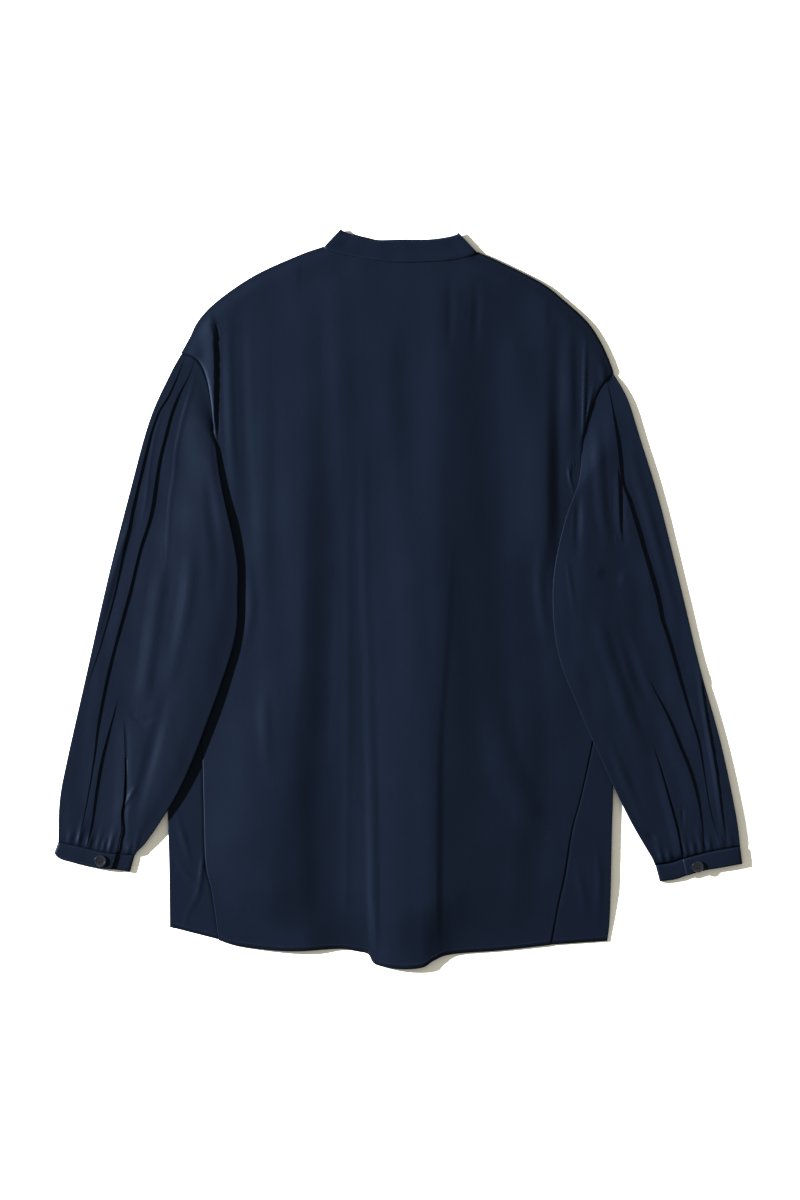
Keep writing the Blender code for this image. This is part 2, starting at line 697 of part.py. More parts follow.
def make_cuff(side, material, collection):
    """A cuff: a strip that runs round the wrist and laps over its own end."""
    seam = inset(smooth(side.cuff_seam, LINE_STEPS), side.sign * SEAM_GAP)
    edge = smooth(side.cuff_edge, LINE_STEPS)
    width = measure(seam)[-1]
    top_radius = LAYER_TOP / 2
    low_radius = LAYER_MIDDLE / 2
    top_spans, wall_spans, under_spans = CUFF_SPANS
    section = []
    for place in np.linspace(side.lap, top_radius / width, top_spans + 1):
        section.append((place, LAYER_TOP))
    for step in range(1, FOLD_STEPS):
        angle = math.pi * step / FOLD_STEPS
        section.append(((top_radius - top_radius * math.sin(angle)) / width,
                        top_radius + top_radius * math.cos(angle)))
    for place in np.linspace(top_radius / width, 1 - low_radius / width, wall_spans + 1):
        section.append((place, LAYER_LOW))
    for step in range(1, FOLD_STEPS):
        angle = math.pi * step / FOLD_STEPS
        section.append((1 - (low_radius - low_radius * math.sin(angle)) / width,
                        low_radius - low_radius * math.cos(angle)))
    for place in np.linspace(1 - low_radius / width, side.under, under_spans + 1):
        section.append((place, LAYER_MIDDLE))
    places = [place for place, height in section]
    points = []
    for share in STRIP_ROWS:
        line = (1 - share) * along(seam, places) + share * along(edge, places)
        points += [(x, y, height) for (x, y), (place, height) in zip(line, section)]
    faces = grid_faces(len(STRIP_ROWS), len(section), flip=side is RIGHT)
    return sheet_object(f"cuff_{side.name}", points, faces, BAND, material, collection)


def band_front(side):
    """The band's two edges in front, from the side of the neck past the centre line."""
    seam = join(front_neck(side), stand_neck(side))
    seam = inset(seam, side.sign * -BAND_GAP)
    seam[0] = along(seam[:2], [BAND_TRIM / measure(seam[:2])[-1]])[0]
    heading = np.gradient(seam, axis=0)
    heading /= np.linalg.norm(heading, axis=1)[:, None]
    inward = np.column_stack([side.sign * heading[:, 1], -side.sign * heading[:, 0]])
    peak = np.array(BAND_BACK_EDGE[0] if side is LEFT else BAND_BACK_EDGE[-1])
    fold = peak - np.array(side.shoulder[-1])
    reach = measure(seam)
    edge = []
    for point, normal, distance in zip(seam, inward, reach):
        share = float(ease(distance / BAND_TURN))
        edge.append(point + (1 - share) * fold + share * BAND_WIDTH * normal)
    heights = [front_height(side, x, BAND) for x, y in seam]
    return seam, np.array(edge), heights


def band_back():
    """The band's two edges behind, from the wearer's left to right."""
    seam = inset(smooth(BACK_NECK, COLUMNS_NECK), BAND_GAP)
    edge = smooth(BAND_BACK_EDGE, COLUMNS_NECK).copy()
    for line in (seam, edge):
        for end, inner in ((0, 1), (-1, -2)):
            pull = line[inner] - line[end]
            line[end] = line[end] + pull * BAND_TRIM / np.linalg.norm(pull)
    return seam, edge, [BAND_TOP] * len(seam)


def make_band(material, collection):
    """The collar band: a strip round the neck whose ends lap at the centre front."""
    left_seam, left_edge, left_z = band_front(LEFT)
    right_seam, right_edge, right_z = band_front(RIGHT)
    back_seam, back_edge, back_z = band_back()
    out_x, out_y = BAND_FOLD_OUT
    rows = []
    for share in STRIP_ROWS:
        left = (1 - share) * left_seam + share * left_edge
        back = (1 - share) * back_seam + share * back_edge
        right = (1 - share) * right_seam + share * right_edge
        row = [(x, y, z) for (x, y), z in zip(left[::-1], left_z[::-1])]
        first = (*back[0], BAND_TOP)
        row += fold_arc(row[-1], first, np.array([-out_x, out_y]), BAND_FOLD)
        row += [(x, y, BAND_TOP) for x, y in back]
        start = (*right[0], right_z[0])
        row += fold_arc(row[-1], start, np.array([out_x, out_y]), BAND_FOLD)
        row += [(x, y, z) for (x, y), z in zip(right, right_z)]
        rows.append(row)
    points = [point for row in rows for point in row]
    faces = grid_faces(len(STRIP_ROWS), len(rows[0]))
    return sheet_object("collar_band", points, faces, BAND, material, collection)


# ---------------------------------------------------------------- buttons

def button_mesh(material, parts, cutters):
    """A dished disc with four holes, made once and shared by every button."""
    rim = BUTTON_RADIUS - BUTTON_RIM
    outline = [
        (0.0, BUTTON_HEIGHT - BUTTON_DISH),
        (rim - BUTTON_SLOPE, BUTTON_HEIGHT - BUTTON_DISH),
        (rim, BUTTON_HEIGHT),
        (BUTTON_RADIUS - BUTTON_CHAMFER, BUTTON_HEIGHT),
        (BUTTON_RADIUS, BUTTON_HEIGHT - BUTTON_CHAMFER),
        (BUTTON_RADIUS - BUTTON_TAPER, 0.0),
        (0.0, 0.0),
    ]
    mesh = bpy.data.meshes.new("button_profile")
    points = [(radius * MM, 0.0, height * MM) for radius, height in outline]
    mesh.from_pydata(points, [(i, i + 1) for i in range(len(points) - 1)], [])
    blank = bpy.data.objects.new("button_blank", mesh)
    parts.objects.link(blank)
    screw = blank.modifiers.new("turn", "SCREW")
    screw.steps = BUTTON_SIDES
    screw.render_steps = BUTTON_SIDES
    screw.use_merge_vertices = True
    screw.merge_threshold = 0.00001
    screw.use_smooth_shade = False
    for number in range(4):
        angle = math.pi / 4 + number * math.pi / 2
        place = (HOLE_OFFSET * MM * math.cos(angle), HOLE_OFFSET * MM * math.sin(angle),
                 BUTTON_HEIGHT * MM / 2)
        bpy.ops.mesh.primitive_cylinder_add(vertices=HOLE_SIDES, radius=HOLE_RADIUS * MM,
                                            depth=3 * BUTTON_HEIGHT * MM, location=place)
        drill = bpy.context.object
        drill.name = f"button_drill_{number + 1}"
        for owner in list(drill.users_collection):
            owner.objects.unlink(drill)
        cutters.objects.link(drill)
        drill.hide_render = True
        drill.display_type = "WIRE"
        hole = blank.modifiers.new(f"hole_{number + 1}", "BOOLEAN")
        hole.object = drill
        hole.operation = "DIFFERENCE"
        hole.solver = "EXACT"
    graph = bpy.context.evaluated_depsgraph_get()
    made = bpy.data.meshes.new_from_object(blank.evaluated_get(graph))
    made.name = "button"
    made.materials.clear()
    made.materials.append(material)
    bpy.data.objects.remove(blank, do_unlink=True)
    return made


def place_button(name, mesh, x, y, z, collection, turn=0.0, face_down=False):
    """One button at its place, facing up or down."""
    button = bpy.data.objects.new(name, mesh)
    button.location = (x * MM, y * MM, z * MM)
    button.rotation_euler = (math.pi if face_down else 0.0, 0.0, turn)
    collection.objects.link(button)
    return button


def make_buttons(material, parts, cutters):
    """One button on each cuff, a row down the front and one on the collar band."""
    mesh = button_mesh(material, parts, cutters)
    for side in SIDES.values():
        x, y = side.button
        height = LAYER_TOP + SEAM_GAP
        place_button(f"cuff_button_{side.name}", mesh, x, y, height, parts, turn=side.turn)
    for number in range(FRONT_BUTTONS):
        y = FIRST_BUTTON_Y - number * BUTTON_PITCH
        place_button(f"front_button_{number + 1}", mesh, 0.0, y, BUTTON_HEIGHT, parts,
                     face_down=True)
    middle = FRONT_NECK + BAND_WIDTH / 2
    place_button("band_button", mesh, 0.0, middle, BUTTON_HEIGHT, parts, face_down=True)


def main():
    parts, cutters = fresh_scene()
    body = cloth_material("body_cloth", NAVY, 0.55)
    sleeve = cloth_material("sleeve_cloth", SLEEVE_NAVY, 0.55)
    gloss = cloth_material("button_gloss", BUTTON_NAVY, 0.15)
    make_back(body, parts)
    make_band(body, parts)
    for side in SIDES.values():
        make_front(side, body, parts)
        make_sleeve(side, sleeve, parts)
        make_cuff(side, sleeve, parts)
    make_buttons(gloss, parts, cutters)


main()
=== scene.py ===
"""Looks of a collarless shirt with a band collar, laid flat with its back upward.

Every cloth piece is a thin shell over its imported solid. Plan sizes and heights in the
tables are millimetres in the part's own frame: +X is the wearer's right, +Y the collar.
"""

import math
from collections import namedtuple

import bpy
import numpy as np
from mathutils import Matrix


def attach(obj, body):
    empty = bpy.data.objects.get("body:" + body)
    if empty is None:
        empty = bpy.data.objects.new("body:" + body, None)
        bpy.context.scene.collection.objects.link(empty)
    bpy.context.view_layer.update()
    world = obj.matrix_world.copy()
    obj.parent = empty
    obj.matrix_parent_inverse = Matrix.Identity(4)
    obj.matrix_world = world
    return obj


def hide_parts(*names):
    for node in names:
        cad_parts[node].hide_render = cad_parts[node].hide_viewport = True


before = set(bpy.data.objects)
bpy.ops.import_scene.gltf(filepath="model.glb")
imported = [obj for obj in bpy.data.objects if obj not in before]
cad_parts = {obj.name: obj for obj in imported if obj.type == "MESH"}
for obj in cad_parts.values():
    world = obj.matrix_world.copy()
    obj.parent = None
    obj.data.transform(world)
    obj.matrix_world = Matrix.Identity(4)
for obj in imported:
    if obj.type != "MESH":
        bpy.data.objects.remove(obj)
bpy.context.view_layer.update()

MM = 0.001

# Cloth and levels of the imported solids
CLOTH = 0.55            # thickness of the shells
BAND = 1.2              # thickness of the collar band and the cuffs
CAD_CLOTH = 1.2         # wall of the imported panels
CAD_BAND = 1.4
SEAM_GAP = 0.3
SIDE_FOLD = 1.9
SLEEVE_FOLD = 1.9
BODY_TOP = 2 * SIDE_FOLD
SHOULDER_TOP = 2 * CAD_CLOTH + SEAM_GAP
STAND_HALF = 12.5
STAND_RAMP = 45.0
STAND_FLAT = 16.0
STAND_RAISE = 2.2
STAND_WIDE = 130.0
STAND_SLOPE = 95.0
STAND_FADE = 40.0
STAND_END = 338.0
FRONT_HEM = -333.0
FRONT_NECK = 268.0
HEM_KNEE = 120.0
HEM_RISE = 1.0
SHOULDER_SLOPE = 14.0
CLIMB_LOWER = (4.0, 34.0)       # the walls come down between these distances from the body
CLIMB_UPPER = (-50.0, 58.0)
LAYER_LOW = 0.0         # the cuff's layers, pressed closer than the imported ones
LAYER_MIDDLE = 3.1
LAYER_TOP = 4.6
SIDE_HOLD = 0.42
TOP_CURVE = 2.5

# The camera looks straight down on the middle of the picture
VIEW_CENTRE = (1.7, -0.8)
VIEW_TALL = 1198.0      # what the picture's long side spans
LENS = 85.0
SENSOR = 36.0

# Light
FLOOR_SIZE = 8.0        # metres
FLOOR_LEVEL = -0.25
KEY_POWER = 5200.0
KEY_ELEVATION = 22.0
KEY_DISTANCE = 4.4      # metres from the shirt's middle
KEY_RADIUS = 0.11
KEY_COLOUR = (1.0, 1.0, 1.0)
KEY_HEADING = (0.97, -0.24)     # the way the light travels, in plan
FILL_COLOUR = (1.0, 0.97, 0.84)
FILL_STRENGTH = 0.68
TONE_GAMMA = 0.8        # the picture's contrast

# Colours, linear
BODY_DARK = (0.0046, 0.0073, 0.0146)
BODY_LIGHT = (0.0065, 0.0105, 0.0208)
SLEEVE_DARK = (0.0049, 0.0078, 0.0156)
SLEEVE_LIGHT = (0.0069, 0.0111, 0.0220)
SLEEVE_PAINTED_SHADING = {"left": 0.83, "right": 1.04}     # painted light and shade: each sleeve's cloth, and its cuff's, is darkened (left) or lightened (right) against those two to match how the lamp falls on it
FLOOR_DARK = (0.80, 0.80, 0.79)
FLOOR_LIGHT = (0.84, 0.84, 0.83)
THREAD_COLOUR = (0.009, 0.017, 0.036)
BUTTON_THREAD = (0.006, 0.010, 0.022)
RESIN_DARK = (0.003, 0.004, 0.008)
RESIN_LIGHT = (0.008, 0.011, 0.020)
CLOTH_ROUGHNESS = 0.45
CLOTH_SPECULAR = 0.09
CLOTH_TINT = (0.55, 0.72, 1.0)
WEAVE_SCALE = 900.0     # about three threads to a millimetre
WEFT_SHARE = 0.8        # the weft is a little coarser
WEAVE_STRENGTH = 0.35
WEAVE_DEPTH = 0.00004
SLUB_SCALE = 900.0
SLUB_STRETCH = (1.0, 0.06, 1.0)
SLUB_TONE = 0.4         # how far the slubs and the dye vary the colour
DYE_SCALE = 38.0
DYE_TONE = 0.6
WEAR_SCALE = 230.0
WEAR_STRENGTH = 0.5
WEAR_DEPTH = 0.00012
TWIST_SCALE = 700.0
THREAD_GROOVE_PAINTED_SHADE = 0.7      # painted shade: the thread's colour is darkened by this share between its painted ridges
THREAD_FINISH = (0.5, 0.3)      # roughness and specular level
FLOOR_FINISH = (0.9, 0.1)
FLOOR_GRAIN = 30.0
RESIN_FINISH = (0.16, 0.5)
RESIN_COAT = 0.4
COAT_ROUGHNESS = 0.06
CLOUD_SCALE = 180.0
SCRATCH_SCALE = 700.0
SCRATCH_TURN = 0.6
SCRATCH_STRETCH = (1.0, 12.0, 1.0)
SCRATCH_STRENGTH = 0.06
SCRATCH_DEPTH = 0.00002
SLEEVE_TURN = 0.24      # a sleeve's weave is turned by this much, in radians

# Mesh density
SMOOTH_STEPS = 24
EDGE_STEPS = 120
ROWS_SIDE = 84          # hem to underarm
ROWS_HIDDEN = 22        # underarm to where the armhole shows
ROWS_ARMHOLE = 24       # the armhole that shows
COLUMNS_SHOULDER = 78
COLUMNS_NECK = 84
COLUMNS_FRONT_NECK = 22
COLUMNS_STAND = 20
COLUMNS_FLAP = 26
HEM_STEPS = 400
FOLD_STEPS = 6
# Points round a fold, from the bottom: share of its height, share of its reach
FOLD_PROFILE = ((0.10, 0.45), (0.40, 0.80), (0.70, 0.97), (0.90, 1.0), (0.985, 0.88),
                (1.0, 0.75))
FOLD_POINTS = len(FOLD_PROFILE)
RINGS_SLEEVE = 150
COLUMNS_UPPER = 110
COLUMNS_LOWER = 44
CREST_MARKS = (-2.4, -1.2, -0.5, 0.0, 0.5, 1.0, 1.7, 2.6, 3.8, 5.2)
SLEEVE_WIDTH = 100.0    # a typical width, to turn those marks into shares
PROBE_STEPS = 160
PATH_STEPS = 5          # points between two rows of a fold's path
PATH_REACH = 6.0        # tracked folds are followed past their ends by so many last steps
TRACK_GAP = 0.05
TRACK_MARGIN = 1.0      # a ring this far past a fold's end still meets it
END_CROWD = 0.03        # the rings of a sleeve crowd together at both ends
STRIP_ROWS = 9
CUFF_TOP = 34
CUFF_WALL = 36
CUFF_UNDER = 18
BAND_FRONT = 56

# Soft form of the cloth
SEAM_DIP = 0.7          # the cloth sinks into a seam by this much
SEAM_REACH = 2.6        # over this distance
HEM_SPAN = 64.0         # over this length the back comes down to its hem's levels
HEM_LEVELS = ((-215.0, 1.2), (-169.0, 1.6), (-129.0, 3.0), (-99.0, 4.5), (-84.0, 4.4),
              (-56.0, 1.9), (-26.0, 1.8), (-6.0, 4.4), (21.0, 5.6), (36.0, 4.6),
              (56.0, 2.2), (81.0, 1.5), (161.0, 1.8), (215.0, 2.0))
WEDGE_KEEP = 0.36       # the wedge keeps this share of its height at the hem
LAP = 1.2               # the wedge runs on under the back's edge
LAP_DIP = 0.75
LAP_REACH = 3.4
CRUMPLE_WAVES = 7
CRUMPLE_STRETCH = 0.55  # the swells run longer down the shirt than across it
CRUMPLE_LENGTHS = (0.6, 1.8)
BACK_SEED = 11
BACK_SWELL = 46.0
BACK_CRUMPLE = 0.16
UNDER_FADE = 26.0       # the back's folds end this far under a sleeve
FRONT_SEED = 23
FRONT_SWELL = 52.0
FRONT_CRUMPLE = 0.16
FRONT_MARGIN = 12.0
WEDGE_MARGIN = 4.0
SLEEVE_SEED = 37
SLEEVE_SWELL = 34.0
SLEEVE_CRUMPLE = 0.14
UNDER_SEED = 40
UNDER_CRUMPLE = 0.12
UNDER_CALM = 0.12
EDGE_CALM = 0.1
CROWN = {"left": 2.0, "right": 1.0}     # how far a sleeve's upper wall rises
CROWN_FROM = {"left": 0.32, "right": 0.0}  # it rises between these places across
CROWN_PEAK = {"left": 0.86, "right": 0.72}
CROWN_EDGE = {"left": 0.7, "right": 0.4}   # share of it left at the inner fold
CROWN_IN = 0.12
CROWN_OUT = 0.12
HEAD_SETTLE = 16.0      # folds grow to their height over this distance from the armhole
HEAD_START = 0.35
GATHER_REACH = 34.0     # how far up the sleeve the cuff's gathers run
GATHER_SHORT = 0.6
GATHER_LEAN = 0.22
GATHER_FROM = 0.6       # the gathers fade in from this station
GATHER_FADE = 0.1
VENT_START = 0.79       # the vent is open from this station to the cuff
CUFF_PILLOW = 0.25
CUFF_SEED = 41
CUFF_SWELL = 18.0
CUFF_CRUMPLE = 0.08
BAND_CREASE = 0.7       # depth of the soft crease along the back of the band
BAND_CREASE_AT = 0.45
BAND_CALM = 14.0
BAND_PILLOW = 0.15
BAND_SEED = 43
BAND_SWELL = 24.0
BAND_CRUMPLE = 0.1

# Sewing
THREAD = 0.16           # radius of a thread
THREAD_PROUD = 0.35     # share of it that a stitch stands out of the cloth
STITCH_PITCH = 2.6
STITCH_LENGTH = 2.1
STITCH_SIDES = 6
# Rings of a stitch: place along it, share of its radius, how far up the ring lies
STITCH_PROFILE = ((-0.5, 0.35, -0.7), (-0.3, 1.0, 0.0), (0.3, 1.0, 0.0), (0.5, 0.35, -0.7))
HEM_STITCH = 4.6        # the hem's stitches lie this far above the edge
STRIP_STITCH = 1.8      # the same for the cuffs and the band
STAND_STITCH = 2.0
STAND_FACING = 23.0     # the inner row of the button stand, from its edge
LEVEL_SPAN = 16
HOLE_STITCHES = 24
HOLE_STITCH = 0.75
HOLE_SPAN = 1.2         # length of one stitch beside a buttonhole
HOLE_LENGTH = 15.0
CUFF_HOLE_LENGTH = 14.6

# Buttons
BUTTON_RADIUS = 5.9
BUTTON_HEIGHT = 1.9
BUTTON_DISH = 0.6
BUTTON_SIDES = 48
BUTTON_SHARP = 35.0     # degrees past which an edge stays crisp
# In from the rim and down from the top, then in from the rim and up from the underside
BUTTON_FACE = ((2.3, BUTTON_DISH), (1.7, 0.35), (1.2, 0.05), (0.8, 0.0), (0.35, 0.12),
               (0.08, 0.45), (0.0, 0.85))
BUTTON_BASE = ((0.15, 0.6), (0.7, 0.1), (1.4, 0.0))
BUTTON_STRANDS = (-0.16, 0.16)  # the threads in a pair of holes, beside its middle
STRAND_LIFT = 0.05
STRAND_LENGTH = 1.1     # against the distance of the two holes
HOLE_RADIUS = 0.75
HOLE_OFFSET = 1.75
HOLE_SIDES = 16
FRONT_BUTTONS = 6
FIRST_BUTTON_Y = 232.0
BUTTON_PITCH = 88.0
FRONT_TURN = 0.1        # each front button is turned by this much more than the last
BAND_BUTTON_TURN = 0.3

# ---------------------------------------------------------------- outlines

Side = namedtuple(
    "Side",
    "name sign shoulder armhole hidden seam fold outer inner cuff_seam cuff_edge"
    " lap under button turn",
)

LEFT = Side(
    name="left",
    sign=-1,
    shoulder=((-217.1, 245.5), (-208.7, 260.5), (-198.7, 279.5), (-178.7, 299.5),
              (-142.7, 323.8), (-98.7, 343.8), (-74.7, 352.2)),
    armhole=((-217.1, 245.5), (-202.0, 240.0), (-193.0, 224.0), (-188.0, 200.0),
             (-184.7, 172.0)),
    hidden=((-184.7, 172.0), (-185.5, 135.0), (-196.0, 96.0), (-225.0, 51.5)),
    seam=((-180.0, -340.2), (-186.2, -292.5), (-192.7, -262.5), (-194.7, -200.5),
          (-196.7, -145.5), (-206.0, -60.0), (-218.0, 5.0), (-225.0, 51.5)),
    fold=((-228.2, -327.9), (-228.7, -268.5), (-230.0, -212.5), (-230.5, -90.0),
          (-230.5, 51.5)),
    outer=((-217.1, 245.5), (-228.7, 223.5), (-248.7, 177.5), (-268.7, 104.5),
           (-289.7, 21.5), (-312.7, -80.5), (-330.7, -160.5), (-338.1, -200.5),
           (-339.6, -241.8)),
    inner=((-184.7, 172.0), (-177.7, 119.5), (-161.7, 45.0), (-160.2, 5.0),
           (-164.0, -44.0), (-192.7, -128.5), (-218.7, -190.5), (-248.7, -238.5),
           (-263.9, -254.8)),
    cuff_seam=((-339.7, -242.4), (-318.7, -246.5), (-298.7, -251.5), (-279.7, -254.3),
               (-263.4, -255.4)),
    cuff_edge=((-343.7, -253.5), (-337.0, -259.5), (-318.7, -264.5), (-298.7, -268.6),
               (-281.7, -270.2), (-268.0, -272.1)),
    lap=0.78,
    under=0.42,
    button=(-297.1, -260.9),
    turn=0.2,
)

RIGHT = Side(
    name="right",
    sign=1,
    shoulder=((215.3, 225.5), (210.3, 239.5), (201.3, 258.5), (188.3, 277.5),
              (164.3, 299.5), (142.0, 316.5), (101.3, 337.1), (79.3, 346.8)),
    armhole=((215.3, 225.5), (202.0, 210.0), (191.3, 185.5), (184.3, 159.5)),
    hidden=((184.3, 159.5), (185.0, 125.0), (193.0, 88.0), (209.5, 54.5)),
    seam=((152.3, -345.5), (160.3, -302.5), (166.3, -274.5), (173.3, -231.5),
          (182.3, -197.5), (194.3, -141.5), (204.0, -85.0), (209.5, -20.0),
          (209.5, 54.5)),
    fold=((208.7, -341.5), (211.3, -315.5), (213.3, -231.5), (214.5, -170.0),
          (214.8, 54.5)),
    outer=((215.3, 225.5), (229.3, 199.5), (241.3, 161.5), (260.3, 99.5),
           (281.3, 15.5), (301.3, -68.5), (321.3, -140.5), (336.3, -210.5),
           (341.4, -245.4)),
    inner=((184.3, 159.5), (180.5, 119.0), (165.5, 76.0), (154.3, 15.0),
           (159.0, -52.0), (181.3, -112.5), (207.3, -170.5), (231.3, -220.5),
           (256.6, -263.8)),
    cuff_seam=((341.3, -246.6), (325.0, -249.3), (311.3, -251.9), (301.3, -254.4),
               (286.0, -258.6), (273.3, -263.0), (256.9, -265.4)),
    cuff_edge=((343.7, -264.1), (321.3, -268.1), (305.3, -270.9), (288.0, -275.9),
               (277.3, -279.6), (261.3, -282.1)),
    lap=0.68,
    under=0.34,
    button=(299.0, -266.9),
    turn=-0.1,
)

BACK_NECK = ((-74.7, 352.2), (-66.7, 347.8), (-32.0, 340.8), (0.3, 337.2), (42.3, 338.4),
             (61.3, 340.9), (73.3, 344.2), (79.3, 346.8))
BACK_HEM = ((-180.0, -340.7), (-158.7, -346.9), (-110.7, -351.6), (-61.7, -349.3),
            (-43.7, -351.2), (-30.3, -354.6), (-22.7, -364.9), (1.3, -369.3),
            (24.0, -367.6), (35.3, -360.9), (52.3, -354.9), (102.3, -351.0),
            (152.3, -345.5))
BAND_BACK_EDGE = ((-58.4, 369.2), (-50.0, 365.4), (-38.0, 362.6), (-22.0, 358.8),
                  (5.0, 359.2), (30.0, 359.2), (50.0, 361.8), (61.5, 365.3))
BAND_WIDTH = 21.0
BAND_FOLD = 2.0
BAND_TOP = 2 * BAND_FOLD
BAND_TRIM = 2.6
BAND_GAP = -1.2         # the band is let in under the neckline of the back by this much
BAND_TURN = 40.0
BAND_FOLD_OUT = (0.4, 0.9)
FRONT_NECK_RUN = ((71.5, 328.0), (62.0, 305.0), (45.0, 287.0))
NECK_RISE = FRONT_NECK_RUN[-1][1] - FRONT_NECK

HEAD_TUCK = 0.7         # the sleeve's end lies this far under the back's edge
HEAD_OUT = (0.85, -0.5)
HEAD_FADE = 0.012
HEAD_REACH = 0.2
# The sleeve rises from the seam over this, at its outer edge and at its inner one
HEAD_JOIN = {"left": (46.0, 26.0), "right": (46.0, 64.0)}
HEAD_UNDER = 0.35
CUFF_REACH = 0.15
CUFF_TUCK = 2.0         # the sleeve runs this far into its cuff
CUFF_JOIN = 5.0
CUFF_SINK = 0.1
CUFF_INSIDE = 0.05      # the sleeve's lower wall clears the cuff's by this much

# ---------------------------------------------------------------- folds

# A fold follows `path`, rows of x, y and height. Walking along it, the cloth climbs to it
# over `rise` on the right hand and falls over `fall` on the left hand. A `tuck` is how far
# the cloth dips in a knife pleat's groove, and `wall` how wide its steep side is.
Fold = namedtuple("Fold", "name path rise fall tuck wall", defaults=(0.0, 0.5))

BACK_FOLDS = [
    Fold("left_ridge", ((-99, 300, 0.4), (-98.5, 240, 1.5), (-96.5, 160, 3.0), (-95, 80, 4.2),
                        (-98, 0, 4.4), (-102, -100, 4.2), (-108, -160, 2.9), (-114, -230, 1.1),
                        (-116, -262, 0.0)), 98, 36),
    Fold("left_low", ((-114, -55, 0.0), (-119, -120, 1.9), (-126, -200, 5.2), (-130, -280, 6.6),
                      (-130, -352, 4.2)), 100, 74),
    Fold("left_valley", ((-82, -110, 0.0), (-79, -200, -0.8), (-77, -300, -1.2),
                         (-74, -357, -1.1)), 24, 80),
    Fold("right_lower", ((120, -60, 0.0), (120, -130, 1.3), (118, -200, 2.1), (112, -280, 1.9),
                         (104, -350, 1.4)), 70, 32),
    Fold("mid_field", ((26, 165, 0.0), (25, 100, 2.0), (25, 40, 3.8), (25, 0, 4.3),
                       (24, -100, 4.6), (20, -200, 4.5), (16, -300, 4.2), (14, -360, 3.8)),
         66, 90),
    Fold("upper_mid", ((47, 318, 0.3), (47, 262, 1.1), (47.5, 200, 1.7), (47, 140, 1.6),
                       (46, 80, 0.9), (44, 35, 0.0)), 36, 46),
    Fold("upper_small", ((-62, 308, 0.3), (-60, 240, 0.8), (-59, 160, 0.8), (-57, 100, 0.5),
                         (-55, 45, 0.0)), 18, 22),
    Fold("upper_faint", ((-10, 300, 0.0), (-9, 240, 0.5), (-8, 160, 0.4), (-6, 90, 0.0)), 24, 18),
    Fold("centre_ridge", ((-35.7, 160, 0.0), (-34.5, 110, 0.25), (-33, 0, 0.35), (-30, -60, 0.4),
                          (-29, -120, 0.5), (-27, -175, 0.6), (-25.6, -250, 0.7),
                          (-25, -357, 0.7)), 8, 8),
    Fold("centre_step", ((-49, 112, 0.0), (-50, 55, 0.2), (-50, -100, 0.22), (-52, -300, 0.2)),
         8, 6),
    Fold("centre_crease", ((52, 60, 0.0), (48, 0, 0.4), (46, -40, 0.5), (42, -90, 0.7),
                           (39, -130, 0.8), (37.5, -200, 1.0), (37, -320, 1.3),
                           (37, -362, 1.4)), 26, 8),
    Fold("right_field", ((149, 268, 0.5), (147, 200, 1.9), (147, 160, 3.0), (147, 120, 3.5),
                         (147, 80, 3.1), (145, 40, 1.3), (143, 5, 0.0)), 50, 15),
    Fold("right_rise", ((116, 280, 0.0), (117, 240, 0.7), (121, 190, 0.4), (124, 150, 0.0)),
         26, 24),
    Fold("right_slant", ((92, -88, 0.0), (98, -120, 0.9), (106, -160, 1.5), (118, -190, 1.2),
                         (134, -215, 0.9), (152, -226, 0.2)), 26, 20),
    Fold("right_low", ((128, -212, 0.0), (146, -216, -0.5), (170, -213, 0.0)), 7, 6),
    Fold("right_line", ((171, 275, 0.2), (171, 240, 1.1), (171.5, 200, 1.3), (171, 160, 0.5),
                        (170, 130, 0.2), (168, 108, 0.0)), 15, 8),
    Fold("armhole_line", ((187.3, 272, 0.0), (186.6, 240, 1.1), (185.3, 189, 1.2),
                          (184.3, 160, 0.4)), 2.4, 1.8),
    Fold("armhole_edge", ((196.3, 222, 0.0), (191.6, 196, 0.8), (186.0, 166, 0.5)), 2.4, 2.0),
    Fold("shoulder_tail", ((200.5, 256, 0.0), (204.5, 237, 1.0), (207.3, 222, 1.4)), 6, 2.4,
         0.6),
    Fold("left_small", ((-133, 230, 0.0), (-133, 160, 0.4), (-134, 80, 0.5), (-133, 25, 0.3),
                        (-131, -30, 0.0)), 13, 12),
    Fold("left_second", ((-133, -88, 0.0), (-133, -120, 0.7), (-131, -150, 0.4),
                         (-128, -180, 0.0)), 10, 9),
    Fold("strip_line", ((-187.7, 292, 0.0), (-184.6, 280, 0.9), (-183.0, 262, 1.9),
                        (-182.6, 225, 2.1), (-182.8, 184, 2.0), (-181.0, 168, 0.6)), 16, 4, 0.9),
    Fold("strip_ridge", ((-170, 292, 0.0), (-169, 240, 0.6), (-166, 150, 0.7), (-158, 60, 0.0)),
         8, 7),
    Fold("strip_trough", ((-156, 300, 0.0), (-155, 230, -0.4), (-151, 130, -0.5),
                          (-146, 50, 0.0)), 9, 9),
    Fold("neck_left", ((52, 322, 0.0), (52, 285, -0.5), (51, 246, 0.0)), 7, 6),
    Fold("neck_right", ((78, 322, 0.0), (78, 285, -0.6), (76, 240, 0.0)), 7, 7),
    Fold("left_hem_lift", ((-140, -300, 0.0), (-128, -330, 0.3), (-118, -352, 0.5)), 26, 20),
    Fold("centre_hem_lift", ((2, -300, 0.0), (6, -340, 0.8), (8, -369, 1.4)), 24, 24),
    Fold("hook_top", ((182.0, 136.5, 0.2), (174.5, 134.5, 0.7), (170.6, 129.0, 0.9),
                      (171.5, 120.0, 0.9), (175.5, 108.0, 0.3)), 2.5, 2.2),
    Fold("under_sleeve_left", ((-150, 40, 0.0), (-147, -10, 0.8), (-156, -60, 0.0)), 8, 8),
    Fold("under_sleeve_right", ((144, 60, 0.0), (141, 10, 0.8), (150, -50, 0.0)), 8, 8),
]

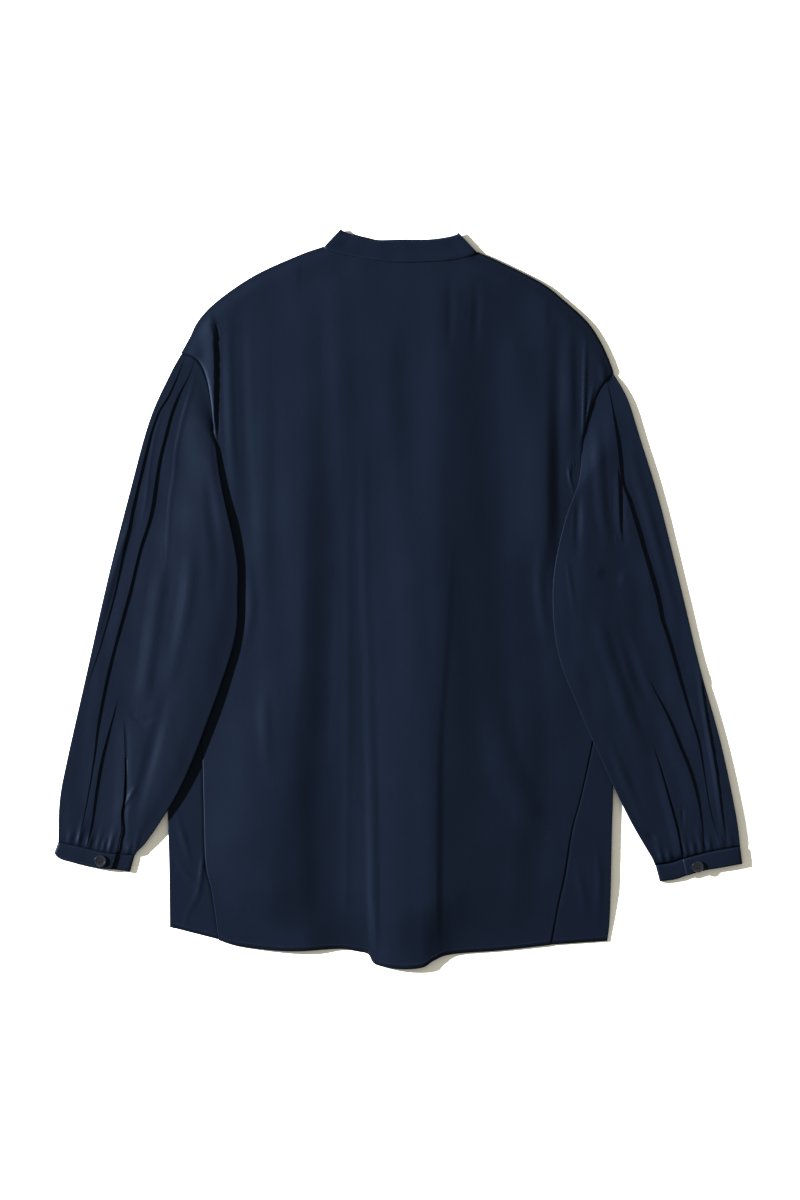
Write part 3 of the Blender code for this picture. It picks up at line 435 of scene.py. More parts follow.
WEDGE_FOLDS = [
    Fold("left_upper", ((-195.2, -262, 0.9), (-198.2, -287, 0.9), (-202.2, -299, 0.8),
                        (-210.9, -315, 0.6), (-214, -326, 0.3)), 3.5, 3.0),
    Fold("left_lower", ((-220, -263, 0.2), (-210, -277, 0.7), (-201, -285, 0.8)), 3.0, 3.5),
    Fold("left_strain", ((-223, -210, 0.0), (-214, -240, 0.6), (-207, -262, 0.0)), 5, 5),
    Fold("right_first", ((176, -262, 0.0), (184, -290, 0.6), (188, -320, 0.0)), 6, 5),
    Fold("right_second", ((197, -240, 0.0), (201, -280, 0.5), (199, -330, 0.2)), 6, 5),
]

FRONT_FOLDS = [
    Fold("left_long", ((-104, 190, 0.0), (-110, 60, 0.9), (-112, -140, 1.0), (-106, -325, 0.4)),
         22, 18),
    Fold("left_mid", ((-70, 120, 0.0), (-74, -20, 0.6), (-68, -200, 0.7), (-66, -330, 0.3)),
         12, 14),
    Fold("left_chest", ((-150, 210, 0.0), (-146, 130, 0.9), (-152, 30, 0.0)), 13, 11),
    Fold("left_strain", ((-196, 60, 0.0), (-170, 20, 0.8), (-140, -30, 0.0)), 8, 10),
    Fold("left_flank", ((-178, -90, 0.0), (-176, -180, 0.8), (-184, -290, 0.2)), 11, 9),
    Fold("left_neck", ((-84, 318, 0.0), (-92, 270, 0.8), (-90, 215, 0.0)), 9, 9),
    Fold("right_long", ((100, 200, 0.0), (104, 40, 0.9), (96, -150, 1.0), (98, -328, 0.5)),
         20, 22),
    Fold("right_mid", ((66, 90, 0.0), (70, -60, 0.5), (64, -220, 0.8), (66, -330, 0.3)),
         10, 13),
    Fold("right_chest", ((150, 220, 0.0), (152, 120, 0.8), (146, 50, 0.0)), 12, 12),
    Fold("right_strain", ((182, 70, 0.0), (160, 20, 0.7), (136, -20, 0.0)), 9, 9),
    Fold("right_flank", ((170, -60, 0.0), (178, -170, 0.9), (172, -280, 0.2)), 12, 10),
    Fold("right_neck", ((86, 312, 0.0), (92, 262, 0.7), (88, 205, 0.0)), 9, 9),
]

# On a sleeve, the folds named in TRACKED keep a line of the mesh along their crest
SLEEVE_FOLDS = {
    "left": [
        Fold("edge", ((-211.7, 246, 0.15), (-218.7, 227.5, 0.27), (-228.7, 204.5, 0.34),
                      (-238.7, 188.5, 0.38), (-246.7, 167.5, 0.42), (-252.7, 144.5, 0.46),
                      (-258.7, 119.5, 0.53), (-264.7, 94.5, 0.53), (-269.7, 69.5, 0.53),
                      (-274.2, 51.5, 0.46), (-277.7, 31.5, 0.38), (-284.7, -0.5, 0.3),
                      (-298.7, -50.5, 0.19), (-306.7, -74.5, 0.11), (-311.5, -92, 0.0)), 14, 70, 0.9),
        Fold("main", ((-202.7, 241, 0.15), (-208.7, 224.5, 0.23), (-217.7, 207.5, 0.34),
                      (-223.7, 194.5, 0.46), (-228.7, 179.5, 0.49), (-233.7, 159.5, 0.53),
                      (-238.7, 139.5, 0.57), (-242.7, 114.5, 0.57), (-246.7, 89.5, 0.57),
                      (-251.7, 69.5, 0.57), (-257.7, 51.5, 0.57), (-265.7, 19.5, 0.57),
                      (-270.7, -0.5, 0.57), (-281.7, -40.5, 0.53), (-291.7, -80.5, 0.49),
                      (-299.2, -120.5, 0.42), (-304.2, -160.5, 0.3), (-310.7, -200.5, 0.19),
                      (-319.2, -242.5, 0.08)), 17, 90, 1.0),
        Fold("lower", ((-280, -100, 0.0), (-284.7, -116.5, 0.27), (-296.7, -160.5, 0.59),
                       (-302.2, -192.5, 0.54), (-305.7, -220.5, 0.41),
                       (-310.7, -245, 0.23)), 13, 34, 0.8),
        Fold("slit", ((-275, -120, 0.0), (-273.7, -136.5, 0.32), (-272.7, -170.5, 0.56),
                      (-273.7, -200.5, 0.8), (-275.7, -212.5, 0.88), (-275.2, -230.5, 0.88),
                      (-277.2, -240.5, 0.8), (-279.2, -256.5, 0.64)), 12, 7, 0.7, 0.8),
        Fold("inner_crease", ((-201.7, 236, 0.07), (-205.7, 214.5, 0.2), (-209.7, 199.5, 0.26),
                              (-214.7, 182.5, 0.29), (-217.7, 169.5, 0.29), (-221.7, 149.5, 0.29),
                              (-223.7, 124.5, 0.26), (-227.7, 99.5, 0.24), (-229.7, 69.5, 0.24),
                              (-231.7, 39.5, 0.18), (-236.2, 15, 0.0)), 3.2, 4),
        Fold("between", ((-233, 200, 0.0), (-235.7, 189.5, 0.13), (-243.7, 159.5, 0.2),
                         (-248.7, 129.5, 0.2), (-251.7, 99.5, 0.18), (-256.5, 76, 0.0)), 3, 3),
        Fold("bulge", ((-234, 40, 0.0), (-239, 8, 0.9), (-243, -22, 0.9), (-250.7, -80, 1.1),
                       (-252, -104, 0.0)), 13, 10),
        Fold("smile", ((-270, -111, 0.0), (-264, -116.5, -0.6), (-257, -121.5, -0.8),
                       (-251, -121, -0.8), (-244.5, -114.5, 0.0)), 3.5, 2.5),
        Fold("elbow", ((-262.7, -188.5, 0.5), (-272.7, -204.5, 0.6)), 2.5, 3.0),
        Fold("outer_roll", ((-262, 90, 0.0), (-277, 50, 0.6), (-290, 5, 0.7),
                            (-304, -50, 0.0)), 7, 6),
        Fold("inner_dent", ((-190, 130, 0.0), (-186, 90, -0.9), (-181, 40, -0.7),
                            (-184, -10, 0.0)), 9, 10),
        Fold("low_trough", ((-224, -60, 0.0), (-240, -130, -0.9), (-256, -190, -0.7),
                            (-266, -235, 0.0)), 9, 9),
        Fold("mid_ridge", ((-206, 60, 0.0), (-209, 10, 0.8), (-222, -60, 0.7),
                           (-236, -110, 0.0)), 10, 9),
    ],
    "right": [
        Fold("main", ((206.8, 222, 0.18), (208.6, 215.5, 0.27), (211.3, 204.5, 0.36),
                      (215.3, 179.5, 0.5), (219.3, 149.5, 0.63), (221.8, 124.5, 0.63),
                      (224.3, 112.5, 0.68), (229.3, 99.5, 0.72), (235.3, 79.5, 0.72),
                      (241.3, 59.5, 0.77), (251.3, 24.5, 0.77), (258.3, -0.5, 0.72),
                      (262.3, -20.5, 0.72), (267.3, -34.5, 0.68), (274.3, -58.5, 0.63),
                      (282.3, -86.5, 0.59), (291.3, -116.5, 0.5), (299.3, -142.5, 0.45),
                      (305.3, -174.5, 0.27), (311.3, -210.5, 0.18), (320.6, -243, 0.09)), 22, 60, 1.1),
        Fold("second", ((250, -78, 0.0), (256.3, -92.5, 0.25), (269.3, -118.5, 0.55),
                        (281.3, -148.5, 0.7), (291.3, -174.5, 0.7), (298.3, -198.5, 0.55),
                        (302.3, -222.5, 0.35), (304.5, -245, 0.15)), 16, 30, 0.9),
        Fold("slit", ((254, -146, 0.0), (260.3, -164.5, 0.5), (269.3, -196.5, 0.9),
                      (277.3, -226.5, 1.1), (281.3, -246.5, 1.0), (283.8, -259, 0.8)),
             10, 2.5, 0.5, 0.8),
        Fold("branch", ((219.0, 132, 0.0), (220.5, 110, 0.72), (221.3, 79.5, 0.66),
                        (223.2, 60.5, 0.17)), 7, 8, 0.8),
        Fold("hook", ((224, 62, 0.4), (219, 57, 0.6), (216, 63, 0.2)), 1.8, 1.6),
        Fold("third", ((299.3, -56, 0.0), (305.3, -100.5, 0.9), (311.3, -136.5, 1.2),
                       (317.3, -170.5, 1.1), (322.3, -206.5, 0.8), (327, -240, 0.2)), 6, 3, 0.5),
        Fold("fleck", ((283.8, -207, 0.0), (283.9, -214, -0.6), (283.9, -228, 0.0)), 2, 2),
        Fold("dimple", ((199, 28, 0.0), (207, 25, -1.0), (218, 22, -0.9), (224, 20, 0.0)),
             11, 12),
        Fold("faint", ((167.3, 42, 0.0), (171, 18, 0.6), (176.3, -17, 0.0)), 3, 3),
        Fold("inner_band", ((180, 106, 0.0), (179, 80, -1.0), (178, 38, 0.0)), 5, 6),
        Fold("upper_roll", ((196, 186, 0.0), (199, 150, 0.9), (203, 90, 0.9), (210, 50, 0.0)),
             9, 9),
        Fold("outer_roll", ((232, 150, 0.0), (245, 100, 0.6), (262, 40, 0.7),
                            (280, -30, 0.0)), 8, 7),
        Fold("mid_ridge", ((196, -10, 0.0), (208, -50, 0.8), (228, -110, 0.9),
                           (246, -160, 0.0)), 12, 10),
        Fold("mid_trough", ((220, -20, 0.0), (236, -70, -0.8), (252, -110, 0.0)), 9, 9),
        Fold("wrist_dent", ((247.5, -234, 0.0), (252, -237, -0.9), (258, -239, 0.0)), 3, 4),
        Fold("inner_low", ((206, -130, 0.0), (226, -180, 0.6), (246, -226, 0.0)), 7, 7),
    ],
}
TRACKED = {"left": ("edge", "main", "lower", "slit"), "right": ("main", "second", "slit")}

# Small waves that the cuff draws into a sleeve: x at the cuff seam, height, half width
Gather = namedtuple("Gather", "x height half")
GATHERS = {
    "left": [Gather(-329, 0.9, 4.0), Gather(-320, 1.2, 3.2), Gather(-310, 1.4, 3.6),
             Gather(-301, 0.8, 3.0), Gather(-295.5, 1.2, 2.6), Gather(-289, 1.3, 3.0),
             Gather(-270, 0.9, 4.0), Gather(-264, 0.8, 3.0)],
    "right": [Gather(333, 0.7, 4.0), Gather(324, 0.8, 4.0), Gather(312, 1.2, 3.4),
              Gather(304, 1.0, 3.0), Gather(296, 1.3, 3.4), Gather(289, 0.8, 2.6),
              Gather(272, 1.2, 3.6), Gather(264, 1.0, 3.2)],
}


# ---------------------------------------------------------------- curves

def measure(points):
    """Distance along a run of points, from its first."""
    steps = np.linalg.norm(np.diff(points, axis=0), axis=1)
    return np.concatenate([[0.0], np.cumsum(steps)])


def along(points, fractions):
    """Points at the given fractions of a run's length."""
    points = np.asarray(points, float)
    reach = measure(points)
    wanted = np.asarray(fractions) * reach[-1]
    return np.column_stack([np.interp(wanted, reach, axis) for axis in points.T])


def smooth(points, count):
    """Evenly spaced points on a smooth curve through the given ones."""
    knots = np.asarray(points, float)
    knots = np.vstack([2 * knots[0] - knots[1], knots, 2 * knots[-1] - knots[-2]])
    s = (np.arange(SMOOTH_STEPS) / SMOOTH_STEPS)[:, None]
    dense = []
    for a, b, c, d in zip(knots, knots[1:], knots[2:], knots[3:]):
        straight = 2 * b + (c - a) * s
        bend = (2 * a - 5 * b + 4 * c - d) * s ** 2 + (3 * b - a - 3 * c + d) * s ** 3
        dense.append(0.5 * (straight + bend))
    dense.append(knots[-2:-1])
    return along(np.vstack(dense), np.linspace(0, 1, count + 1))


def join(*runs):
    """One run of points from several that meet end to end."""
    return np.vstack([runs[0]] + [run[1:] for run in runs[1:]])


def inset(points, distance):
    """A run of points moved to its left by a distance."""
    heading = np.gradient(np.asarray(points, float), axis=0)
    heading /= np.linalg.norm(heading, axis=1)[:, None]
    return points + np.column_stack([-heading[:, 1], heading[:, 0]]) * distance


def ease(value):
    """A smooth step from 0 to 1."""
    value = np.clip(value, 0.0, 1.0)
    return value * value * (3 - 2 * value)


def patch(bottom, top, left, right, hold=1.0):
    """A grid of plan points between four edges; the side edges' shape fades over `hold`."""
    level = ((left[:, 1] - left[0, 1]) / (left[-1, 1] - left[0, 1]))[:, None]
    level_right = ((right[:, 1] - right[0, 1]) / (right[-1, 1] - right[0, 1]))[:, None]
    u = (measure(bottom) / measure(bottom)[-1])[None, :]
    v = (1 - u) * level + u * level_right
    grid = (1 - v)[..., None] * bottom[None] + v[..., None] * top[None]
    corner_y = (1 - u) * top[0, 1] + u * top[-1, 1]
    grid[..., 1] += (v ** TOP_CURVE - v) * (top[None, :, 1] - corner_y)
    left_bulge = left - (1 - level) * left[0] - level * left[-1]
    right_bulge = right - (1 - level_right) * right[0] - level_right * right[-1]
    near_left = np.clip(1 - u / hold, 0, None)[..., None]
    near_right = np.clip(1 - (1 - u) / hold, 0, None)[..., None]
    return grid + near_left * left_bulge[:, None] + near_right * right_bulge[:, None]


def nearest(x, y, path):
    """For each plan point: its distance left of a path, and how far along it lies."""
    path = np.asarray(path, float)
    reach = measure(path[:, :2])
    best = np.full(np.shape(x), np.inf)
    signed = np.zeros(np.shape(x))
    place = np.zeros(np.shape(x))
    for (ax, ay), (bx, by), start in zip(path[:-1, :2], path[1:, :2], reach):
        length = math.hypot(bx - ax, by - ay)
        hx, hy = (bx - ax) / length, (by - ay) / length
        travelled = np.clip((x - ax) * hx + (y - ay) * hy, 0, length)
        dx, dy = x - ax - hx * travelled, y - ay - hy * travelled
        distance = np.hypot(dx, dy)
        closer = distance < best
        best = np.where(closer, distance, best)
        side = hx * (y - ay) - hy * (x - ax)
        signed = np.where(closer, np.where(side < 0, -distance, distance), signed)
        place = np.where(closer, start + travelled, place)
    return signed, place, reach


def fold_path(fold):
    """A fold's path as a smooth run of points."""
    return smooth(fold.path, PATH_STEPS * (len(fold.path) - 1))


def fold_height(x, y, fold, path):
    """How far one fold raises the cloth at each plan point."""
    across, place, reach = nearest(x, y, path)
    height = np.interp(place, reach, path[:, 2])
    climbing = height * ease(1 + across / fold.rise)
    if fold.tuck:
        depth = fold.tuck * np.clip(height / path[:, 2].max(), 0, 1)
        wall = np.clip(across / fold.wall, 0, 1)
        groove = -depth * (1 - ease((across - fold.wall) / (fold.fall - fold.wall)))
        falling = height * (1 - wall) + groove * wall
    else:
        falling = height * ease(1 - across / fold.fall)
    return np.where(across < 0, climbing, falling)


def relief(x, y, folds):
    """How far a table of folds raises the cloth at each plan point."""
    total = np.zeros(np.shape(x))
    for fold in folds:
        path = fold_path(fold)
        margin = max(fold.rise, fold.fall)
        near = (x > path[:, 0].min() - margin) & (x < path[:, 0].max() + margin)
        near &= (y > path[:, 1].min() - margin) & (y < path[:, 1].max() + margin)
        total[near] += fold_height(x[near], y[near], fold, path)
    return total


def crumple(x, y, seed, size, height):
    """Faint uneven swells of the cloth, the sum of a few crossing waves."""
    draw = np.random.default_rng(seed)
    total = np.zeros(np.shape(x))
    for _ in range(CRUMPLE_WAVES):
        turn = draw.uniform(0, math.pi)
        length = size * draw.uniform(*CRUMPLE_LENGTHS)
        phase = draw.uniform(0, 2 * math.pi)
        wave = np.cos(turn) * x + np.sin(turn) * y * CRUMPLE_STRETCH
        total += np.sin(2 * math.pi * wave / length + phase)
    return height * total / math.sqrt(CRUMPLE_WAVES)


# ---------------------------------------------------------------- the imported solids' levels

def armhole(side):
    """The armhole from the underarm to the shoulder."""
    hidden = smooth(side.hidden, ROWS_HIDDEN)[::-1]
    return join(hidden, smooth(side.armhole, ROWS_ARMHOLE)[::-1])


def shoulder(side):
    """The shoulder line from the armhole to the neck."""
    return smooth(side.shoulder, COLUMNS_SHOULDER)


def front_neck(side, count):
    """The front neckline from the side of the neck to the edge of the button stand."""
    run = tuple((side.sign * x, y) for x, y in FRONT_NECK_RUN)
    return smooth((side.shoulder[-1], *run), count)


def neck_y(x):
    """The front neckline's height near the centre line."""
    return FRONT_NECK + NECK_RISE * (x / STAND_RAMP) ** 2


def stand_neck(side, count):
    """The neckline across the button stand, past the centre line."""
    x = np.linspace(STAND_RAMP, -STAND_HALF, count + 1)
    return np.column_stack([side.sign * x, neck_y(x)])


def front_height(side, x, wall=CAD_CLOTH):
    """The underside of a front or its band, which rises over the buttons at the centre."""
    stacked = STAND_RAISE if side is RIGHT else STAND_RAISE + wall + SEAM_GAP
    return stacked * ease((STAND_RAMP - side.sign * x) / (STAND_RAMP - STAND_FLAT))


def under_sleeve(side, x, y):
    """Distance outside the body's edge where a sleeve may cover it; negative inside."""
    top_x, top_y = side.hidden[0]
    edge = smooth(side.fold[:-1] + side.hidden[::-1], ROWS_SIDE)
    beside = side.sign * (x - np.interp(y, edge[:, 1], edge[:, 0]))
    return np.where(y > top_y, np.hypot(x - top_x, y - top_y), beside)


def climb(side, x, y, span):
    """How high a sleeve's wall is lifted by the body under it."""
    near, far = span
    distance = under_sleeve(side, x, y)
    return (BODY_TOP + SEAM_GAP) * ease((far - distance) / (far - near))


def sleeve_clearance(x, y):
    """Distance from the sleeves' inner edges, positive where the back shows."""
    nearest_edge = np.full(np.shape(x), np.inf)
    for side in (LEFT, RIGHT):
        inner = np.array(side.inner)[::-1]
        beside = side.sign * (np.interp(y, inner[:, 1], inner[:, 0]) - x)
        above = np.hypot(x - inner[-1, 0], y - inner[-1, 1])
        distance = np.where(y > inner[-1, 1], above, beside)
        distance = np.where(y < inner[0, 1], np.inf, distance)
        nearest_edge = np.minimum(nearest_edge, distance)
    return nearest_edge


def back_height(x, y):
    """The outer face of the back panel."""
    over_stands = STAND_RAISE + 2 * (CAD_BAND + SEAM_GAP) + CAD_CLOTH - BODY_TOP
    centre = over_stands * ease((STAND_WIDE - np.abs(x)) / STAND_SLOPE)
    centre *= ease((STAND_END - y) / STAND_FADE)
    shown = ease((sleeve_clearance(x, y) + UNDER_FADE) / UNDER_FADE)
    folds = relief(x, y, BACK_FOLDS) + crumple(x, y, BACK_SEED, BACK_SWELL, BACK_CRUMPLE)
    top = BODY_TOP + centre + folds * shown
    depth = np.minimum(np.abs(nearest(x, y, shoulder(LEFT))[0]),
                       np.abs(nearest(x, y, shoulder(RIGHT))[0]))
    top = SHOULDER_TOP + (top - SHOULDER_TOP) * ease(depth / SHOULDER_SLOPE)
    above_hem = y - np.interp(x, *np.array(BACK_HEM).T)
    level = np.interp(x, *smooth(HEM_LEVELS, HEM_STEPS).T)
    top = level + (top - level) * ease(above_hem / HEM_SPAN)
    for side in (LEFT, RIGHT):
        seam = np.abs(nearest(x, y, armhole(side))[0])
        top -= SEAM_DIP * ease(1 - seam / SEAM_REACH)
    return top


# ---------------------------------------------------------------- making pieces

def link(name, data):
    """A new object in the scene."""
    made = bpy.data.objects.new(name, data)
    bpy.context.scene.collection.objects.link(made)
    return made


def shell(name, points, faces, material):
    """A smooth mesh of points in millimetres."""
    mesh = bpy.data.meshes.new(name)
    mesh.from_pydata((np.asarray(points).reshape(-1, 3) * MM).tolist(), [], faces)
    mesh.update()
    mesh.materials.append(material)
    mesh.shade_smooth()
    return mesh


def pillow(share, height):
    """How far a strip bulges at a share of its width."""
    return height * (1 - (2 * share - 1) ** 4)


def cloth_piece(name, points, faces, wall, material, node, crisp=()):
    """A closed cloth shell under a grid of outer points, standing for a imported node.

    Edges between two of the points in `crisp` aren't shaded round.
    """
    mesh = shell(name, points, faces, material)
    ends = np.zeros(len(mesh.edges) * 2, int)
    mesh.edges.foreach_get("vertices", ends)
    sharp = np.isin(ends, crisp).reshape(-1, 2).all(axis=1)
    mesh.attributes.new("sharp_edge", "BOOLEAN", "EDGE").data.foreach_set("value", sharp)
    piece = link(name, mesh)
    solidify = piece.modifiers.new("wall", "SOLIDIFY")
    solidify.thickness = wall * MM
    solidify.offset = -1.0
    solidify.use_even_offset = False
    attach(piece, "root")
    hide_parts(node)
    return piece


def grid_faces(rows, columns, flip=False, closed=False):
    """Quads of a grid of points stored row by row."""
    spans = columns if closed else columns - 1
    j, i = np.mgrid[0:rows - 1, 0:spans]
    after = (i + 1) % columns
    corners = [j * columns + i, j * columns + after,
               (j + 1) * columns + after, (j + 1) * columns + i]
    if flip:
        corners = corners[::-1]
    return np.stack(corners, axis=-1).reshape(-1, 4).tolist()


def lift(plan, height):
    """Plan points with a height each."""
    return np.concatenate([plan, np.broadcast_to(height, plan.shape[:-1])[..., None]], axis=-1)


# ---------------------------------------------------------------- body panels

def make_back(material):
    """The back panel, from hem to neckline and from armhole to armhole."""
    edges = []
    for side in (LEFT, RIGHT):
        seam = join(smooth(side.seam, ROWS_SIDE), armhole(side))
        edges.append(inset(seam, side.sign * SEAM_GAP))
    left, right = edges
    top = join(shoulder(LEFT), smooth(BACK_NECK, COLUMNS_NECK), shoulder(RIGHT)[::-1])
    hem = along(smooth(BACK_HEM, HEM_STEPS), measure(top) / measure(top)[-1])
    top[0], top[-1] = left[-1], right[-1]
    hem[0], hem[-1] = left[0], right[0]
    plan = patch(hem, top, left, right)
    grid = lift(plan, back_height(plan[..., 0], plan[..., 1]))
    rows, columns = grid.shape[:2]
    top_edge = (rows - 1) * columns + np.arange(COLUMNS_SHOULDER + COLUMNS_NECK)
    piece = cloth_piece("back_cloth", grid, grid_faces(rows, columns), CLOTH, material,
                        "back", crisp=top_edge)
    return piece, grid


def make_front(side, material):
    """A front panel on the surface, with its side wrapped up and over to the side seam."""
    fold = smooth(side.fold, ROWS_SIDE)
    turned = fold - np.array([side.sign * SIDE_FOLD, 0.0])
    edge = join(turned, np.vstack([turned[-1:], inset(armhole(side), side.sign * SEAM_GAP)[1:]]))
    stand_top = stand_neck(side, COLUMNS_STAND)
    top = join(shoulder(side), front_neck(side, COLUMNS_FRONT_NECK), stand_top)
    top[0] = edge[-1]
    reach = measure(top[:-COLUMNS_STAND])
    corners = [edge[0], (side.sign * HEM_KNEE, FRONT_HEM + HEM_RISE),
               (side.sign * STAND_RAMP, FRONT_HEM)]
    hem_side = along(corners, reach / reach[-1])
    hem_stand = np.column_stack([stand_top[:, 0], np.full(len(stand_top), FRONT_HEM)])
    level = (edge[:, 1] - edge[0, 1]) / (edge[-1, 1] - edge[0, 1])
    centre_x = -side.sign * STAND_HALF
    centre = np.column_stack([np.full(len(edge), centre_x),
                              FRONT_HEM + level * (neck_y(centre_x) - FRONT_HEM)])
    plan = patch(join(hem_side, hem_stand), top, edge, centre, hold=SIDE_HOLD)
    x, y = plan[..., 0], plan[..., 1]
    inland = side.sign * x
    margin = ease((side.sign * np.interp(y, fold[:, 1], fold[:, 0]) - inland) / FRONT_MARGIN)
    margin = margin * ease((inland - STAND_HALF) / FRONT_MARGIN)
    folds = relief(x, y, FRONT_FOLDS) + crumple(x, y, FRONT_SEED, FRONT_SWELL, FRONT_CRUMPLE)
    grid = lift(plan, front_height(side, x) + np.clip(folds + FRONT_CRUMPLE, 0, None) * margin)
    wrap = wrap_side(side, fold)
    rows, columns = grid.shape[:2]
    flip = side is LEFT
    faces = grid_faces(rows, columns, flip=flip)
    start = rows * columns
    rows_side, width = wrap.shape[:2]
    ids = start + np.arange(rows_side * width).reshape(rows_side, width)
    ids = np.column_stack([np.arange(rows_side) * columns, ids])
    quads = np.stack([ids[:-1, :-1], ids[:-1, 1:], ids[1:, 1:], ids[1:, :-1]], axis=-1)
    quads = quads.reshape(-1, 4)
    faces += (quads if flip else quads[:, ::-1]).tolist()
    points = np.vstack([grid.reshape(-1, 3), wrap.reshape(-1, 3)])
    piece = cloth_piece(f"front_{side.name}_cloth", points, faces, CLOTH, material,
                        f"front_{side.name}")
    return piece, grid, wrap


def wrap_side(side, fold):
    """The side fold and the wedge on top of it, as a grid from hem to underarm."""
    seam = inset(smooth(side.seam, ROWS_SIDE), side.sign * LAP)
    middle_x = fold[:, 0] - side.sign * SIDE_FOLD
    height, out = np.array(FOLD_PROFILE + ((1.0, 0.0),)).T
    turn_x = middle_x[:, None] + side.sign * SIDE_FOLD * out
    above_hem = fold[:, 1:2] - fold[0, 1]
    kept = WEDGE_KEEP + (1 - WEDGE_KEEP) * ease(above_hem / HEM_SPAN)
    turn_z = BODY_TOP * height * kept
    turn = np.stack(np.broadcast_arrays(turn_x, fold[:, 1:2], turn_z), axis=-1)
    share = (np.arange(1, COLUMNS_FLAP + 1) / COLUMNS_FLAP)[None, :]
    x = middle_x[:, None] + share * (seam[:, :1] - middle_x[:, None])
    y = fold[:, 1:2] + share * (seam[:, 1:2] - fold[:, 1:2])
    inside = np.abs(x - middle_x[:, None])
    folds = relief(x, y, WEDGE_FOLDS) * ease(inside / WEDGE_MARGIN)
    seam_dip = LAP_DIP * ease(1 - np.abs(x - seam[:, :1]) / LAP_REACH)
    flap = np.stack([x, y, (BODY_TOP + folds - seam_dip) * kept], axis=-1)
    return np.concatenate([turn, flap], axis=1)


# ---------------------------------------------------------------- sleeves

def chord(points, places):
    """The straight line from a curve's first point to its last, at the given places."""
    first = np.array(points[0])
    last = np.array(points[-1])
    return first + np.outer(places, last - first)


def sleeve_line(side, t, places):
    """Plan points across the sleeve at station t, at the given places outer to inner."""
    outer = along(side_curves[side.name]["outer"], [t])[0]
    inner = along(side_curves[side.name]["inner"], [t])[0]
    straight = outer + np.outer(places, inner - outer)
    head_bulge = along(side_curves[side.name]["head"], places) - chord(side.armhole, places)
    cuff_bulge = along(side_curves[side.name]["cuff"], places) - chord(side.cuff_seam, places)
    near_head = max(0.0, 1 - t / HEAD_REACH) ** 2
    near_cuff = max(0.0, 1 - (1 - t) / CUFF_REACH) ** 2
    return straight + near_head * head_bulge + near_cuff * cuff_bulge


side_curves = {
    side.name: {
        "outer": smooth(side.outer, EDGE_STEPS),
        "inner": smooth(side.inner, EDGE_STEPS),
        "head": smooth(side.armhole, ROWS_ARMHOLE),
        "cuff": smooth(side.cuff_seam, EDGE_STEPS),
    }
    for side in (LEFT, RIGHT)
}


def end_shift(side, t, places):
    """Tuck the sleeve's first section under the back's edge and its last into the cuff."""
    outward = np.array([side.sign * HEAD_OUT[0], HEAD_OUT[1]])
    into = np.array([0.0, -1.0])
    head = -HEAD_TUCK * max(0.0, 1 - t / HEAD_FADE)
    cuff = CUFF_TUCK * max(0.0, 1 - (1 - t) / HEAD_FADE)
    return np.ones((len(places), 1)) * (head * outward + cuff * into)


def crossing(line, path):
    """The place from 0 to 1 where a line of plan points meets a fold's path."""
    across = nearest(line[:, 0], line[:, 1], np.asarray(path)[:, :2])[0]
    places = np.linspace(0, 1, len(line))
    signs = np.sign(across)
    changes = np.nonzero(signs[:-1] * signs[1:] <= 0)[0]
    if len(changes) == 0:
        return None
    k = changes[np.argmin(np.abs(across[changes]))]
    share = across[k] / (across[k] - across[k + 1])
    return places[k] + share * (places[k + 1] - places[k])


def tracked_places(side, stations):
    """Where each tracked fold crosses each ring, kept in order and steady past its ends."""
    probe = np.linspace(0, 1, PROBE_STEPS)
    folds = {fold.name: fold for fold in SLEEVE_FOLDS[side.name]}
    found = []
    for name in TRACKED[side.name]:
        path = fold_path(folds[name])
        first, last = path[0, :2], path[-1, :2]
        before = first + (first - path[PATH_STEPS, :2]) * PATH_REACH
        after = last + (last - path[-PATH_STEPS - 1, :2]) * PATH_REACH
        longer = np.vstack([before, path[:, :2], after])
        places = []
        for t in stations:
            line = sleeve_line(side, t, probe)
            inside = (path[-1, 1] - TRACK_MARGIN <= line[:, 1].max()
                      and line[:, 1].min() <= path[0, 1] + TRACK_MARGIN)
            places.append(crossing(line, longer) if inside else None)
        known = [k for k, place in enumerate(places) if place is not None]
        values = np.interp(np.arange(len(places)), known, [places[k] for k in known])
        found.append(values)
    found = np.array(found).T
    for k in range(found.shape[1]):
        low = TRACK_GAP * (k + 1)
        high = 1 - TRACK_GAP * (found.shape[1] - k)
        found[:, k] = np.clip(found[:, k], low, high)
    for k in range(1, found.shape[1]):
        found[:, k] = np.maximum(found[:, k], found[:, k - 1] + TRACK_GAP)
    return found


def column_marks(side, count):
    """Places across a sleeve where the mesh has its lines: even, and close at each crest."""
    marks = np.linspace(0, 1, count + 1)
    spread = [np.linspace(marks[0], marks[-1], COLUMNS_UPPER + 1)]
    step = -1 if side is RIGHT else 1
    for mark in marks[1:-1]:
        spread.append(mark + step * np.array(CREST_MARKS) / SLEEVE_WIDTH)
    return np.unique(np.concatenate(spread).round(5)), marks


def gather_waves(side, x, y, station_share):
    """The small waves that the cuff draws in, fading up the sleeve."""
    total = np.zeros(np.shape(x))
    seam = side_curves[side.name]["cuff"]
    order = np.argsort(seam[:, 0])
    seam_y = np.interp(x, seam[order, 0], seam[order, 1])
    up = np.clip(y - seam_y, 0, None)
    for k, wave in enumerate(GATHERS[side.name]):
        lean = side.sign * up * GATHER_LEAN
        reach = GATHER_REACH * (1 if k % 2 else GATHER_SHORT)
        across = np.abs(x - (wave.x - lean)) / (wave.half * (1 + up / GATHER_REACH))
        total += wave.height * ease(1 - across) * ease(1 - up / reach)
    return total * ease(station_share)


